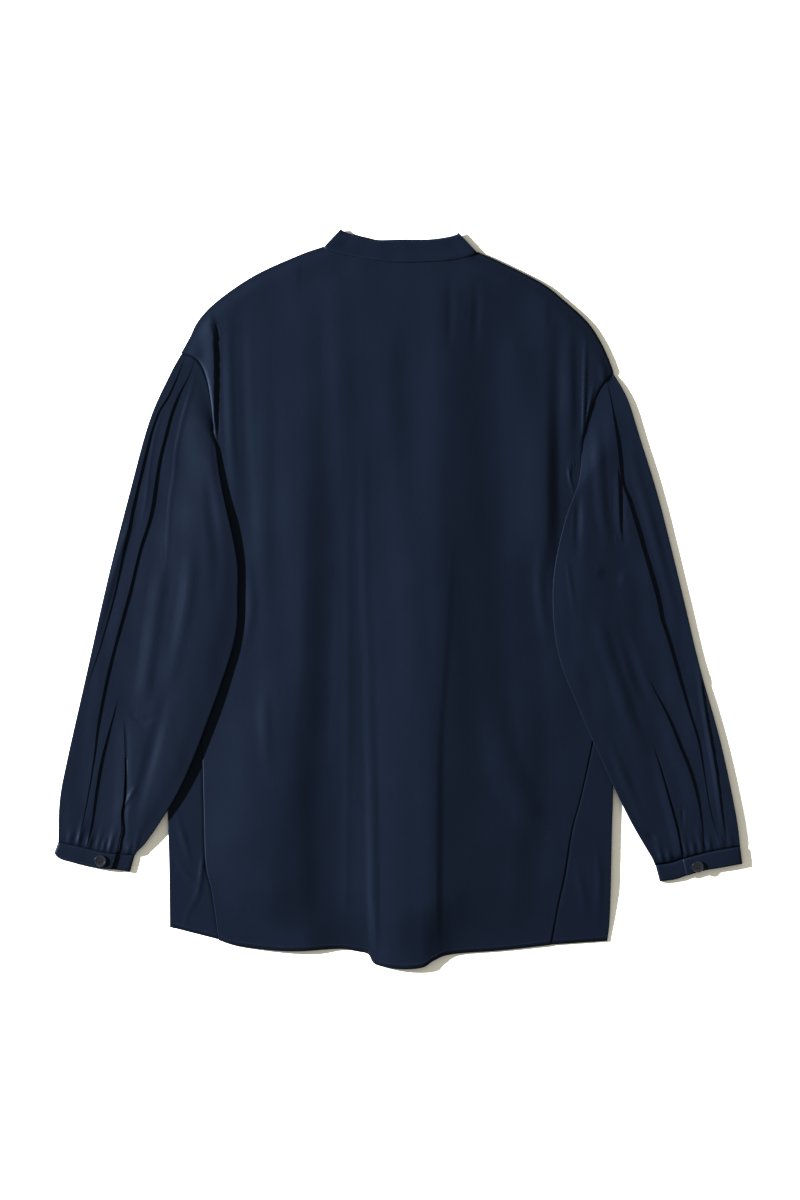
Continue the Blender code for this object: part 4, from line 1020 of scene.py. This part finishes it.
def make_sleeve(side, material):
    """A sleeve: sections from the armhole to the cuff, open at both ends and at the vent."""
    stations = ring_stations()
    span_length = measure(side_curves[side.name]["outer"])[-1]
    tracked = tracked_places(side, stations)
    shares, marks = column_marks(side, tracked.shape[1] + 1)
    lower_shares = np.linspace(0, 1, COLUMNS_LOWER + 1)
    rings = []
    for t, places in zip(stations, tracked):
        knots = np.concatenate([[0.0], places, [1.0]])
        span = sleeve_line(side, t, np.array([0.0, 1.0]))
        width = float(np.linalg.norm(span[1] - span[0]))
        margin = SLEEVE_FOLD / width
        upper_places = np.interp(shares, marks, knots)
        upper = sleeve_plan(side, t, upper_places, margin)
        lower = sleeve_plan(side, t, lower_shares, margin)
        low_z = climb(side, lower[:, 0], lower[:, 1], CLIMB_LOWER)
        low_z += under_folds(lower, lower_shares)
        low_z *= ease(t * span_length / np.interp(lower_shares, (0, 1), HEAD_JOIN[side.name]))
        into_cuff = 1 - ease((1 - t) * span_length / CUFF_JOIN)
        low_z = low_z + (BAND + CUFF_INSIDE - low_z) * into_cuff
        high_z = sleeve_top(side, t, upper, upper_places)
        inward = (span[1] - span[0]) / width
        ring = [lift(lower, low_z)]
        ring.append(fold_arc(ring[0][-1], np.append(upper[-1], high_z[-1]), inward, SLEEVE_FOLD))
        ring.append(lift(upper, high_z)[::-1])
        ring.append(fold_arc(ring[-1][-1], ring[0][0], -inward, SLEEVE_FOLD))
        rings.append(np.vstack(ring))
    grid = np.array(rings)
    rows, columns = grid.shape[:2]
    faces = grid_faces(rows, columns, flip=side is RIGHT, closed=True)
    slit_mark = int(np.argmin(np.abs(shares - marks[1 + TRACKED[side.name].index("slit")])))
    crest = COLUMNS_LOWER + FOLD_POINTS + len(shares) - slit_mark
    gap = crest - 1 if side is LEFT else crest
    kept = [face for index, face in enumerate(faces)
            if not (index % columns == gap and stations[index // columns] >= VENT_START)]
    return cloth_piece(f"sleeve_{side.name}_cloth", grid, kept, CLOTH, material,
                       f"sleeve_{side.name}")


def ring_stations():
    """Stations along a sleeve, closer together near both ends."""
    even = np.linspace(0, 1, RINGS_SLEEVE + 1)
    return even - END_CROWD * np.sin(2 * math.pi * even)


def sleeve_plan(side, t, places, margin):
    """Plan points of a section, clear of its rounded folds."""
    line = sleeve_line(side, t, margin + places * (1 - 2 * margin))
    return line + end_shift(side, t, places)


def sleeve_top(side, t, plan, places):
    """The outer face of a sleeve's upper wall."""
    x, y = plan[:, 0], plan[:, 1]
    length = measure(side_curves[side.name]["outer"])[-1]
    folds = relief(x, y, SLEEVE_FOLDS[side.name]) * ease(t * length / HEAD_SETTLE + HEAD_START)
    peak = CROWN_PEAK[side.name]
    kept = CROWN_EDGE[side.name]
    start = CROWN_FROM[side.name]
    crown = ease((places - start) / (peak - start))
    crown *= kept + (1 - kept) * ease((1 - places) / (1 - peak))
    crown *= CROWN[side.name] * ease(t / CROWN_IN) * ease((1 - t) / CROWN_OUT)
    swell = crumple(x, y, SLEEVE_SEED, SLEEVE_SWELL, SLEEVE_CRUMPLE)
    swell *= ease(places / EDGE_CALM) * ease((1 - places) / EDGE_CALM)
    seam = SEAM_DIP * (ease(1 - t * length / SEAM_REACH) + ease(1 - (1 - t) * length / SEAM_REACH))
    base = climb(side, x, y, CLIMB_UPPER) + 2 * SLEEVE_FOLD
    waves = gather_waves(side, x, y, (t - GATHER_FROM) / GATHER_FADE)
    top = base + crown + folds + swell - seam + waves
    depth = np.abs(nearest(x, y, shoulder(side))[0])
    back_edge = SHOULDER_TOP + (BODY_TOP - SHOULDER_TOP) * ease(depth / SHOULDER_SLOPE)
    sewn = back_edge - SEAM_DIP - HEAD_UNDER + folds * HEAD_START
    cuff_top = np.where(places < side.lap, LAYER_TOP, LAYER_MIDDLE) - BAND - CUFF_SINK
    top = sewn + (top - sewn) * ease(t * length / np.interp(places, (0, 1), HEAD_JOIN[side.name]))
    return cuff_top + (top - cuff_top) * ease((1 - t) * length / CUFF_JOIN)


def under_folds(plan, places):
    """Faint swells of a sleeve's lower wall, which lift it off the surface."""
    x, y = plan[:, 0], plan[:, 1]
    swell = crumple(x, y, UNDER_SEED, SLEEVE_SWELL, UNDER_CRUMPLE) + UNDER_CRUMPLE
    calm = ease(places / UNDER_CALM) * ease((1 - places) / UNDER_CALM)
    return np.clip(swell, 0, None) * calm


def fold_arc(start, end, outward, reach):
    """Points of a rounded fold between two points that stand one over the other."""
    height, out = np.array(FOLD_PROFILE).T[:, :, None]
    if start[2] > end[2]:
        height, out = 1 - height[::-1], out[::-1]
    points = (1 - height) * start + height * end
    points[:, :2] += outward * reach * out
    return points


# ---------------------------------------------------------------- cuffs and collar band

def make_cuff(side, material):
    """A cuff: a strip that runs round the wrist and laps over its own end."""
    seam = inset(smooth(side.cuff_seam, EDGE_STEPS), side.sign * SEAM_GAP)
    edge = smooth(side.cuff_edge, EDGE_STEPS)
    width = measure(seam)[-1]
    top_radius = LAYER_TOP / 2
    low_radius = LAYER_MIDDLE / 2
    angle = math.pi * np.arange(1, FOLD_STEPS) / FOLD_STEPS
    places = [np.linspace(side.lap, top_radius / width, CUFF_TOP)]
    heights = [np.full(CUFF_TOP, LAYER_TOP)]
    places.append(top_radius * (1 - np.sin(angle)) / width)
    heights.append(top_radius * (1 + np.cos(angle)))
    places.append(np.linspace(top_radius / width, 1 - low_radius / width, CUFF_WALL))
    heights.append(np.full(CUFF_WALL, LAYER_LOW))
    places.append(1 - low_radius * (1 - np.sin(angle)) / width)
    heights.append(low_radius * (1 - np.cos(angle)))
    places.append(np.linspace(1 - low_radius / width, side.under, CUFF_UNDER))
    heights.append(np.full(CUFF_UNDER, LAYER_MIDDLE))
    places = np.concatenate(places)
    heights = np.concatenate(heights)
    share = np.linspace(0, 1, STRIP_ROWS)[:, None, None]
    plan = (1 - share) * along(seam, places)[None] + share * along(edge, places)[None]
    outer = (heights > LAYER_LOW)[None]
    bulge = pillow(share[..., 0], CUFF_PILLOW)
    swell = crumple(plan[..., 0], plan[..., 1], CUFF_SEED, CUFF_SWELL, CUFF_CRUMPLE)
    grid = lift(plan, heights[None] + (bulge + swell) * outer)
    faces = grid_faces(STRIP_ROWS, len(places), flip=side is RIGHT)
    piece = cloth_piece(f"cuff_{side.name}_cloth", grid, faces, BAND, material,
                        f"cuff_{side.name}")
    return piece, grid


def band_front(side):
    """The band's two edges in front, from the side of the neck past the centre line."""
    seam = join(front_neck(side, COLUMNS_FRONT_NECK), stand_neck(side, COLUMNS_STAND))
    seam = inset(seam, side.sign * -BAND_GAP)
    seam = along(seam, np.linspace(BAND_TRIM / measure(seam)[-1], 1, BAND_FRONT))
    heading = np.gradient(seam, axis=0)
    heading /= np.linalg.norm(heading, axis=1)[:, None]
    inward = np.column_stack([side.sign * heading[:, 1], -side.sign * heading[:, 0]])
    peak = np.array(BAND_BACK_EDGE[0] if side is LEFT else BAND_BACK_EDGE[-1])
    fold = peak - np.array(side.shoulder[-1])
    share = ease(measure(seam) / BAND_TURN)[:, None]
    edge = seam + (1 - share) * fold + share * BAND_WIDTH * inward
    return seam, edge, front_height(side, seam[:, 0], CAD_BAND)


def band_back():
    """The band's two edges behind, from the wearer's left to right."""
    lines = [inset(smooth(BACK_NECK, COLUMNS_NECK), BAND_GAP), smooth(BAND_BACK_EDGE, COLUMNS_NECK)]
    trimmed = []
    for line in lines:
        share = BAND_TRIM / measure(line)[-1]
        trimmed.append(along(line, np.linspace(share, 1 - share, COLUMNS_NECK + 1)))
    return trimmed


def make_band(material):
    """The collar band: a strip round the neck whose ends lap at the centre front."""
    *left_lines, left_z = band_front(LEFT)
    *right_lines, right_z = band_front(RIGHT)
    strips = (left_lines, band_back(), right_lines)
    out_x, out_y = BAND_FOLD_OUT
    rows = []
    for share in np.linspace(0, 1, STRIP_ROWS):
        left, back, right = [(1 - share) * seam + share * edge for seam, edge in strips]
        crease = BAND_CREASE * ease(1 - abs(share - BAND_CREASE_AT) / BAND_CREASE_AT)
        calm = ease(np.minimum(back[:, 0] - back[0, 0], back[-1, 0] - back[:, 0]) / BAND_CALM)
        swell = crumple(back[:, 0], back[:, 1], BAND_SEED, BAND_SWELL, BAND_CRUMPLE)
        back_z = BAND_TOP + (swell - crease) * calm
        front_pillow = pillow(share, BAND_PILLOW)
        run = [lift(left, left_z + front_pillow)[::-1]]
        first = np.append(back[0], back_z[0])
        run.append(fold_arc(run[-1][-1], first, np.array([-out_x, out_y]), BAND_FOLD))
        run.append(lift(back, back_z))
        start = np.append(right[0], right_z[0] + front_pillow)
        run.append(fold_arc(run[-1][-1], start, np.array([out_x, out_y]), BAND_FOLD))
        run.append(lift(right, right_z + front_pillow))
        rows.append(np.vstack(run))
    grid = np.array(rows)
    faces = grid_faces(*grid.shape[:2])
    piece = cloth_piece("collar_band_cloth", grid, faces, BAND, material,
                        "collar_band")
    return piece, grid


# ---------------------------------------------------------------- sewing and buttons

def surface(grid, rows, columns):
    """Points of a grid at fractional rows and columns."""
    rows, columns = np.broadcast_arrays(np.asarray(rows, float), np.asarray(columns, float))
    j = np.clip(rows.astype(int), 0, grid.shape[0] - 2)
    i = np.clip(columns.astype(int), 0, grid.shape[1] - 2)
    v = (rows - j)[:, None]
    u = (columns - i)[:, None]
    low = (1 - u) * grid[j, i] + u * grid[j, i + 1]
    high = (1 - u) * grid[j + 1, i] + u * grid[j + 1, i + 1]
    return (1 - v) * low + v * high


def level_row(grid, distance, at_end=False):
    """Fractional rows that lie a distance in from a grid's first or last row."""
    rows = grid[::-1] if at_end else grid
    steps = np.linalg.norm(np.diff(rows[:LEVEL_SPAN], axis=0), axis=2)
    reach = np.vstack([np.zeros(grid.shape[1]), np.cumsum(steps, axis=0)])
    found = np.array([np.interp(distance, reach[:, i], np.arange(len(reach)))
                      for i in range(grid.shape[1])])
    return grid.shape[0] - 1 - found if at_end else found


def dashes(name, lines, material, pitch=STITCH_PITCH, length=STITCH_LENGTH, down=False):
    """Rows of small stitches along lines on the cloth, joined in one mesh."""
    sides = STITCH_SIDES
    rings = len(STITCH_PROFILE)
    turn = 2 * math.pi * np.arange(sides) / sides
    points, faces = [], []
    for line in lines:
        line = np.asarray(line)
        total = measure(line)[-1]
        count = max(1, int(total / pitch))
        centres = (np.arange(count) + 0.5) * pitch / total
        starts = along(line, np.clip(centres - 0.5 * length / total, 0, 1))
        ends = along(line, np.clip(centres + 0.5 * length / total, 0, 1))
        for start, end in zip(starts, ends):
            heading = end - start
            span = np.linalg.norm(heading)
            heading = heading / span
            up = np.array([0.0, 0.0, -1.0 if down else 1.0])
            across = np.cross(heading, up)
            across /= np.linalg.norm(across)
            up = np.cross(across, heading)
            base = len(points)
            middle = (start + end) / 2 + up * THREAD * THREAD_PROUD
            for along_share, swell, sink in STITCH_PROFILE:
                centre = middle + heading * along_share * span + up * sink * THREAD
                for angle in turn:
                    radial = across * math.cos(angle) + up * math.sin(angle)
                    points.append(centre + radial * THREAD * swell)
            for ring in range(rings - 1):
                for k in range(sides):
                    a = base + ring * sides + k
                    b = base + ring * sides + (k + 1) % sides
                    faces.append((a, b, b + sides, a + sides))
            faces.append(tuple(base + k for k in range(sides))[::-1])
            faces.append(tuple(base + (rings - 1) * sides + k for k in range(sides)))
    piece = link(name, shell(name, points, faces, material))
    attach(piece, "root")


def run_along(grid, rows, first=0, last=None):
    """A line on a grid at the given fractional row of each column."""
    last = grid.shape[1] - 1 if last is None else last
    columns = np.arange(first, last + 1)
    return surface(grid, np.asarray(rows)[columns], columns)


def edge_line(grid, distance, at_end=False):
    """A line that keeps its distance from a grid's first or last row."""
    return run_along(grid, level_row(grid, distance, at_end), 1, grid.shape[1] - 2)


def strip_lines(grid):
    """The stitch lines along both long edges of a strip."""
    return [edge_line(grid, STRIP_STITCH), edge_line(grid, STRIP_STITCH, at_end=True)]


def sew_buttonholes(material):
    """The buttonholes of the right front, of the band's end and of both cuffs."""
    lines = []
    for number in range(FRONT_BUTTONS):
        y = FIRST_BUTTON_Y - number * BUTTON_PITCH
        lines += buttonhole((0.0, y, STAND_RAISE), (0.0, 1.0), HOLE_LENGTH)
    lines += buttonhole((0.0, FRONT_NECK + BAND_WIDTH / 2, STAND_RAISE), (1.0, 0.0), HOLE_LENGTH)
    dashes("front_buttonholes", lines, material, HOLE_SPAN, HOLE_SPAN, down=True)
    lines = []
    for side in (LEFT, RIGHT):
        x, y = side.button
        heading = np.subtract(side.cuff_edge[-1], side.cuff_edge[0])
        lines += buttonhole((x, y, LAYER_TOP + CUFF_PILLOW), heading, CUFF_HOLE_LENGTH)
    dashes("cuff_buttonholes", lines, material, HOLE_SPAN, HOLE_SPAN)


def button_mesh(material):
    """A dished disc with a rounded rim and four holes, shared by every button."""
    bpy.ops.mesh.primitive_circle_add(vertices=4, radius=1)
    blank = bpy.context.object
    profile = [(0.0, BUTTON_HEIGHT - BUTTON_DISH)]
    profile += [(BUTTON_RADIUS - inward, BUTTON_HEIGHT - down) for inward, down in BUTTON_FACE]
    profile += [(BUTTON_RADIUS - inward, up) for inward, up in BUTTON_BASE]
    profile.append((0.0, 0.0))
    mesh = bpy.data.meshes.new("button_profile")
    mesh.from_pydata([(radius * MM, 0.0, height * MM) for radius, height in profile],
                     [(k, k + 1) for k in range(len(profile) - 1)], [])
    blank.data = mesh
    screw = blank.modifiers.new("turn", "SCREW")
    screw.steps = screw.render_steps = BUTTON_SIDES
    screw.use_merge_vertices = True
    screw.merge_threshold = 0.00001
    drills = []
    for number in range(4):
        angle = math.pi / 4 + number * math.pi / 2
        place = (HOLE_OFFSET * MM * math.cos(angle), HOLE_OFFSET * MM * math.sin(angle),
                 BUTTON_HEIGHT * MM / 2)
        bpy.ops.mesh.primitive_cylinder_add(vertices=HOLE_SIDES, radius=HOLE_RADIUS * MM,
                                            depth=3 * BUTTON_HEIGHT * MM, location=place)
        drills.append(bpy.context.object)
        hole = blank.modifiers.new(f"hole_{number + 1}", "BOOLEAN")
        hole.object = drills[-1]
        hole.operation = "DIFFERENCE"
        hole.solver = "EXACT"
    graph = bpy.context.evaluated_depsgraph_get()
    made = bpy.data.meshes.new_from_object(blank.evaluated_get(graph))
    for tool in [blank] + drills:
        bpy.data.objects.remove(tool, do_unlink=True)
    made.name = "button_fine"
    made.materials.clear()
    made.materials.append(material)
    made.shade_smooth()
    made.set_sharp_from_angle(angle=math.radians(BUTTON_SHARP))
    return made


def place_button(node, mesh, x, y, z, turn, face_down, thread_material):
    """One button with its thread, standing for a packed one."""
    button = link(f"{node}_fine", mesh)
    button.location = (x * MM, y * MM, z * MM)
    button.rotation_euler = (math.pi if face_down else 0.0, 0.0, turn)
    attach(button, "root")
    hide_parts(node)
    way = -1.0 if face_down else 1.0
    reach = HOLE_OFFSET / math.sqrt(2)
    level = z + way * (BUTTON_HEIGHT - BUTTON_DISH + STRAND_LIFT)
    lines = []
    for across in (-1, 1):
        for strand in BUTTON_STRANDS:
            ends = [(across * reach + strand, -reach), (across * reach + strand, reach)]
            line = []
            for px, py in ends:
                rx = px * math.cos(turn) - py * math.sin(turn) * way
                ry = px * math.sin(turn) + py * math.cos(turn) * way
                line.append((x + rx, y + ry, level))
            lines.append(line)
    span = 2 * reach
    dashes(f"{node}_thread", lines, thread_material, pitch=span,
           length=span * STRAND_LENGTH, down=face_down)


def buttonhole(centre, heading, length):
    """Short stitches side by side round a slit, as lines for dashes()."""
    heading = np.array([heading[0], heading[1], 0.0]) / math.hypot(*heading)
    across = np.array([-heading[1], heading[0], 0.0])
    centre = np.array(centre)
    lines = []
    for k in range(HOLE_STITCHES):
        place = (k / (HOLE_STITCHES - 1) - 0.5) * length
        for way in (-1, 1):
            middle = centre + heading * place + across * way * HOLE_STITCH
            lines.append([middle - across * HOLE_SPAN / 2, middle + across * HOLE_SPAN / 2])
    for end in (-0.5, 0.5):
        tip = centre + heading * end * length
        lines.append([tip - across * HOLE_STITCH * 2, tip + across * HOLE_STITCH * 2])
    return lines


# ---------------------------------------------------------------- materials

def shader_tree(name, roughness, specular):
    """A new material, its node tree and its shader, with the constants set on the shader."""
    material = bpy.data.materials.new(name)
    material.use_nodes = True
    tree = material.node_tree
    shader = tree.nodes["Principled BSDF"]
    shader.inputs["Roughness"].default_value = roughness
    shader.inputs["Specular IOR Level"].default_value = specular
    return material, tree, shader


def texture(tree, kind, vector, **values):
    """A texture node read at a vector, with its inputs or settings by name."""
    node = tree.nodes.new(kind)
    tree.links.new(vector, node.inputs["Vector"])
    for key, value in values.items():
        if key in node.inputs:
            node.inputs[key].default_value = value
        else:
            setattr(node, key, value)
    return node


def placed(tree, angle=0.0, stretch=(1.0, 1.0, 1.0)):
    """Object coordinates turned about the vertical, for a weave that follows a panel."""
    coordinates = tree.nodes.new("ShaderNodeTexCoord")
    mapping = tree.nodes.new("ShaderNodeMapping")
    mapping.inputs["Rotation"].default_value = (0.0, 0.0, angle)
    mapping.inputs["Scale"].default_value = stretch
    tree.links.new(coordinates.outputs["Object"], mapping.inputs["Vector"])
    return mapping.outputs["Vector"]


def math_node(tree, operation, first, second):
    """A two-input sum or product; `second` may be a number."""
    node = tree.nodes.new("ShaderNodeMath")
    node.operation = operation
    tree.links.new(first, node.inputs[0])
    if isinstance(second, float):
        node.inputs[1].default_value = second
    else:
        tree.links.new(second, node.inputs[1])
    return node.outputs[0]


def blend(tree, shader, factor, dark, light):
    """Colour the shader between two tones by a factor."""
    mix = tree.nodes.new("ShaderNodeMix")
    mix.data_type = "RGBA"
    mix.inputs["A"].default_value = (*dark, 1.0)
    mix.inputs["B"].default_value = (*light, 1.0)
    tree.links.new(factor, mix.inputs["Factor"])
    tree.links.new(mix.outputs["Result"], shader.inputs["Base Color"])


def bump(tree, height, strength, distance):
    """A node that roughens a surface by a height."""
    node = tree.nodes.new("ShaderNodeBump")
    node.inputs["Strength"].default_value = strength
    node.inputs["Distance"].default_value = distance
    tree.links.new(height, node.inputs["Height"])
    return node


def poplin(name, dark, light, angle):
    """Fine plain-weave cotton: crossing threads, slubs along them and a faint uneven dye."""
    material, tree, shader = shader_tree(name, CLOTH_ROUGHNESS, CLOTH_SPECULAR)
    shader.inputs["Specular Tint"].default_value = (*CLOTH_TINT, 1.0)
    vector = placed(tree, angle)
    warp = texture(tree, "ShaderNodeTexWave", vector, bands_direction="X", Scale=WEAVE_SCALE)
    weft = texture(tree, "ShaderNodeTexWave", vector, bands_direction="Y",
                   Scale=WEAVE_SCALE * WEFT_SHARE)
    weave = math_node(tree, "ADD", warp.outputs["Fac"], weft.outputs["Fac"])
    slub_vector = placed(tree, angle, SLUB_STRETCH)
    slub = texture(tree, "ShaderNodeTexNoise", slub_vector, Scale=SLUB_SCALE, Detail=2.0)
    dye = texture(tree, "ShaderNodeTexNoise", vector, Scale=DYE_SCALE, Detail=5.0, Roughness=0.6)
    wear = texture(tree, "ShaderNodeTexNoise", vector, Scale=WEAR_SCALE, Detail=3.0, Roughness=0.6)
    tone = math_node(tree, "MULTIPLY", dye.outputs["Fac"], DYE_TONE)
    slubs = math_node(tree, "MULTIPLY", slub.outputs["Fac"], SLUB_TONE)
    tone = math_node(tree, "ADD", tone, slubs)
    blend(tree, shader, tone, dark, light)
    threads = bump(tree, weave, WEAVE_STRENGTH, WEAVE_DEPTH)
    creases = bump(tree, wear.outputs["Fac"], WEAR_STRENGTH, WEAR_DEPTH)
    tree.links.new(threads.outputs["Normal"], creases.inputs["Normal"])
    tree.links.new(creases.outputs["Normal"], shader.inputs["Normal"])
    return material


def thread(name, colour):
    """Twisted sewing thread: fine slanting ridges drawn in colour only, with painted shade between
    them.
    """
    material, tree, shader = shader_tree(name, *THREAD_FINISH)
    twist = texture(tree, "ShaderNodeTexWave", placed(tree), bands_direction="DIAGONAL",
                    Scale=TWIST_SCALE)
    # painted shade in the grooves between the twist's ridges
    blend(tree, shader, twist.outputs["Fac"], [THREAD_GROOVE_PAINTED_SHADE * part for part in colour], colour)
    return material


def gloss(name, dark, light):
    """Polished resin with faint clouds under the surface and small scratches."""
    material, tree, shader = shader_tree(name, *RESIN_FINISH)
    shader.inputs["Coat Weight"].default_value = RESIN_COAT
    shader.inputs["Coat Roughness"].default_value = COAT_ROUGHNESS
    clouds = texture(tree, "ShaderNodeTexNoise", placed(tree), Scale=CLOUD_SCALE, Detail=4.0)
    blend(tree, shader, clouds.outputs["Fac"], dark, light)
    vector = placed(tree, SCRATCH_TURN, SCRATCH_STRETCH)
    scratches = texture(tree, "ShaderNodeTexNoise", vector, Scale=SCRATCH_SCALE, Detail=2.0)
    scratched = bump(tree, scratches.outputs["Fac"], SCRATCH_STRENGTH, SCRATCH_DEPTH)
    tree.links.new(scratched.outputs["Normal"], shader.inputs["Normal"])
    return material


# ---------------------------------------------------------------- the stage

def make_stage():
    """A pale floor, a low lamp from the picture's upper left, a soft sky and the camera."""
    material, tree, shader = shader_tree("floor_paint", *FLOOR_FINISH)
    grain = texture(tree, "ShaderNodeTexNoise", placed(tree), Scale=FLOOR_GRAIN, Detail=3.0)
    blend(tree, shader, grain.outputs["Fac"], FLOOR_DARK, FLOOR_LIGHT)
    bpy.ops.mesh.primitive_plane_add(size=FLOOR_SIZE, location=(0.0, 0.0, FLOOR_LEVEL * MM))
    floor = bpy.context.object
    floor.name = "floor"
    floor.data.materials.append(material)

    lamp = bpy.data.lights.new("key", "POINT")
    lamp.energy = KEY_POWER
    lamp.shadow_soft_size = KEY_RADIUS
    lamp.color = KEY_COLOUR
    key = link("key", lamp)
    rise = math.radians(KEY_ELEVATION)
    ground = KEY_DISTANCE * math.cos(rise)
    key.location = (-KEY_HEADING[0] * ground, -KEY_HEADING[1] * ground,
                    KEY_DISTANCE * math.sin(rise))

    world = bpy.data.worlds.new("studio")
    world.use_nodes = True
    sky = world.node_tree.nodes["Background"]
    sky.inputs["Color"].default_value = (*FILL_COLOUR, 1.0)
    sky.inputs["Strength"].default_value = FILL_STRENGTH
    bpy.context.scene.world = world
    bpy.context.scene.view_settings.view_transform = "Standard"
    bpy.context.scene.view_settings.gamma = TONE_GAMMA

    data = bpy.data.cameras.new("camera")
    data.lens = LENS
    data.sensor_width = SENSOR
    camera = link("camera", data)
    distance = VIEW_TALL * LENS / SENSOR + BODY_TOP
    camera.location = (VIEW_CENTRE[0] * MM, VIEW_CENTRE[1] * MM, distance * MM)
    bpy.context.scene.camera = camera


# ---------------------------------------------------------------- the shirt

def main():
    """The stage, the cloth, the sewing and the buttons."""
    make_stage()
    body = poplin("body_poplin", BODY_DARK, BODY_LIGHT, 0.0)
    thread_navy = thread("navy_thread", THREAD_COLOUR)
    button_thread = thread("button_thread", BUTTON_THREAD)
    resin = gloss("button_resin", RESIN_DARK, RESIN_LIGHT)

    back, back_grid = make_back(body)
    band, band_grid = make_band(body)
    upper = [edge_line(back_grid, HEM_STITCH)]
    lower = []
    cuff_lines = []
    cuff_lower = []
    for side in (LEFT, RIGHT):
        angle = side.sign * SLEEVE_TURN
        # painted light and shade: the sleeve and its cuff get a darker (left) or lighter (right) copy
        # of the same cloth's colours
        tone = SLEEVE_PAINTED_SHADING[side.name]
        dark = [tone * value for value in SLEEVE_DARK]
        light = [tone * value for value in SLEEVE_LIGHT]
        sleeve_cloth = poplin(f"sleeve_poplin_{side.name}", dark, light, angle)
        front, front_grid, wrap = make_front(side, body)
        upper.append(edge_line(wrap[:, FOLD_POINTS:], HEM_STITCH))
        lower.append(edge_line(front_grid, HEM_STITCH))
        across = front_grid.swapaxes(0, 1)
        lower.append(edge_line(across, STAND_STITCH, at_end=True))
        lower.append(edge_line(across, STAND_FACING, at_end=True))
        sleeve = make_sleeve(side, sleeve_cloth)
        cuff, cuff_grid = make_cuff(side, sleeve_cloth)
        visible = cuff_grid[:, :CUFF_TOP - 1]
        under = cuff_grid[:, CUFF_TOP + FOLD_STEPS:CUFF_TOP + CUFF_WALL]
        cuff_lines += strip_lines(visible)
        cuff_lines.append(edge_line(visible.swapaxes(0, 1), STRIP_STITCH)[2:-2])
        cuff_lower += strip_lines(under)
    behind = BAND_FRONT + FOLD_POINTS
    upper += strip_lines(band_grid[:, behind + 2:behind + COLUMNS_NECK - 1])
    lower += strip_lines(band_grid[:, 1:BAND_FRONT - 2])
    lower += strip_lines(band_grid[:, -BAND_FRONT + 2:-1])
    dashes("body_stitches", upper, thread_navy)
    dashes("front_stitches", lower, thread_navy, down=True)
    dashes("cuff_stitches", cuff_lines, thread_navy)
    dashes("cuff_stitches_under", cuff_lower, thread_navy, down=True)
    sew_buttonholes(thread_navy)

    mesh = button_mesh(resin)
    for side in (LEFT, RIGHT):
        x, y = side.button
        place_button(f"cuff_button_{side.name}", mesh, x, y, LAYER_TOP + SEAM_GAP, side.turn,
                     False, button_thread)
    for number in range(FRONT_BUTTONS):
        place_button(f"front_button_{number + 1}", mesh, 0.0,
                     FIRST_BUTTON_Y - number * BUTTON_PITCH, BUTTON_HEIGHT, FRONT_TURN * number,
                     True, button_thread)
    place_button("band_button", mesh, 0.0, FRONT_NECK + BAND_WIDTH / 2, BUTTON_HEIGHT,
                 BAND_BUTTON_TURN, True, button_thread)


main()
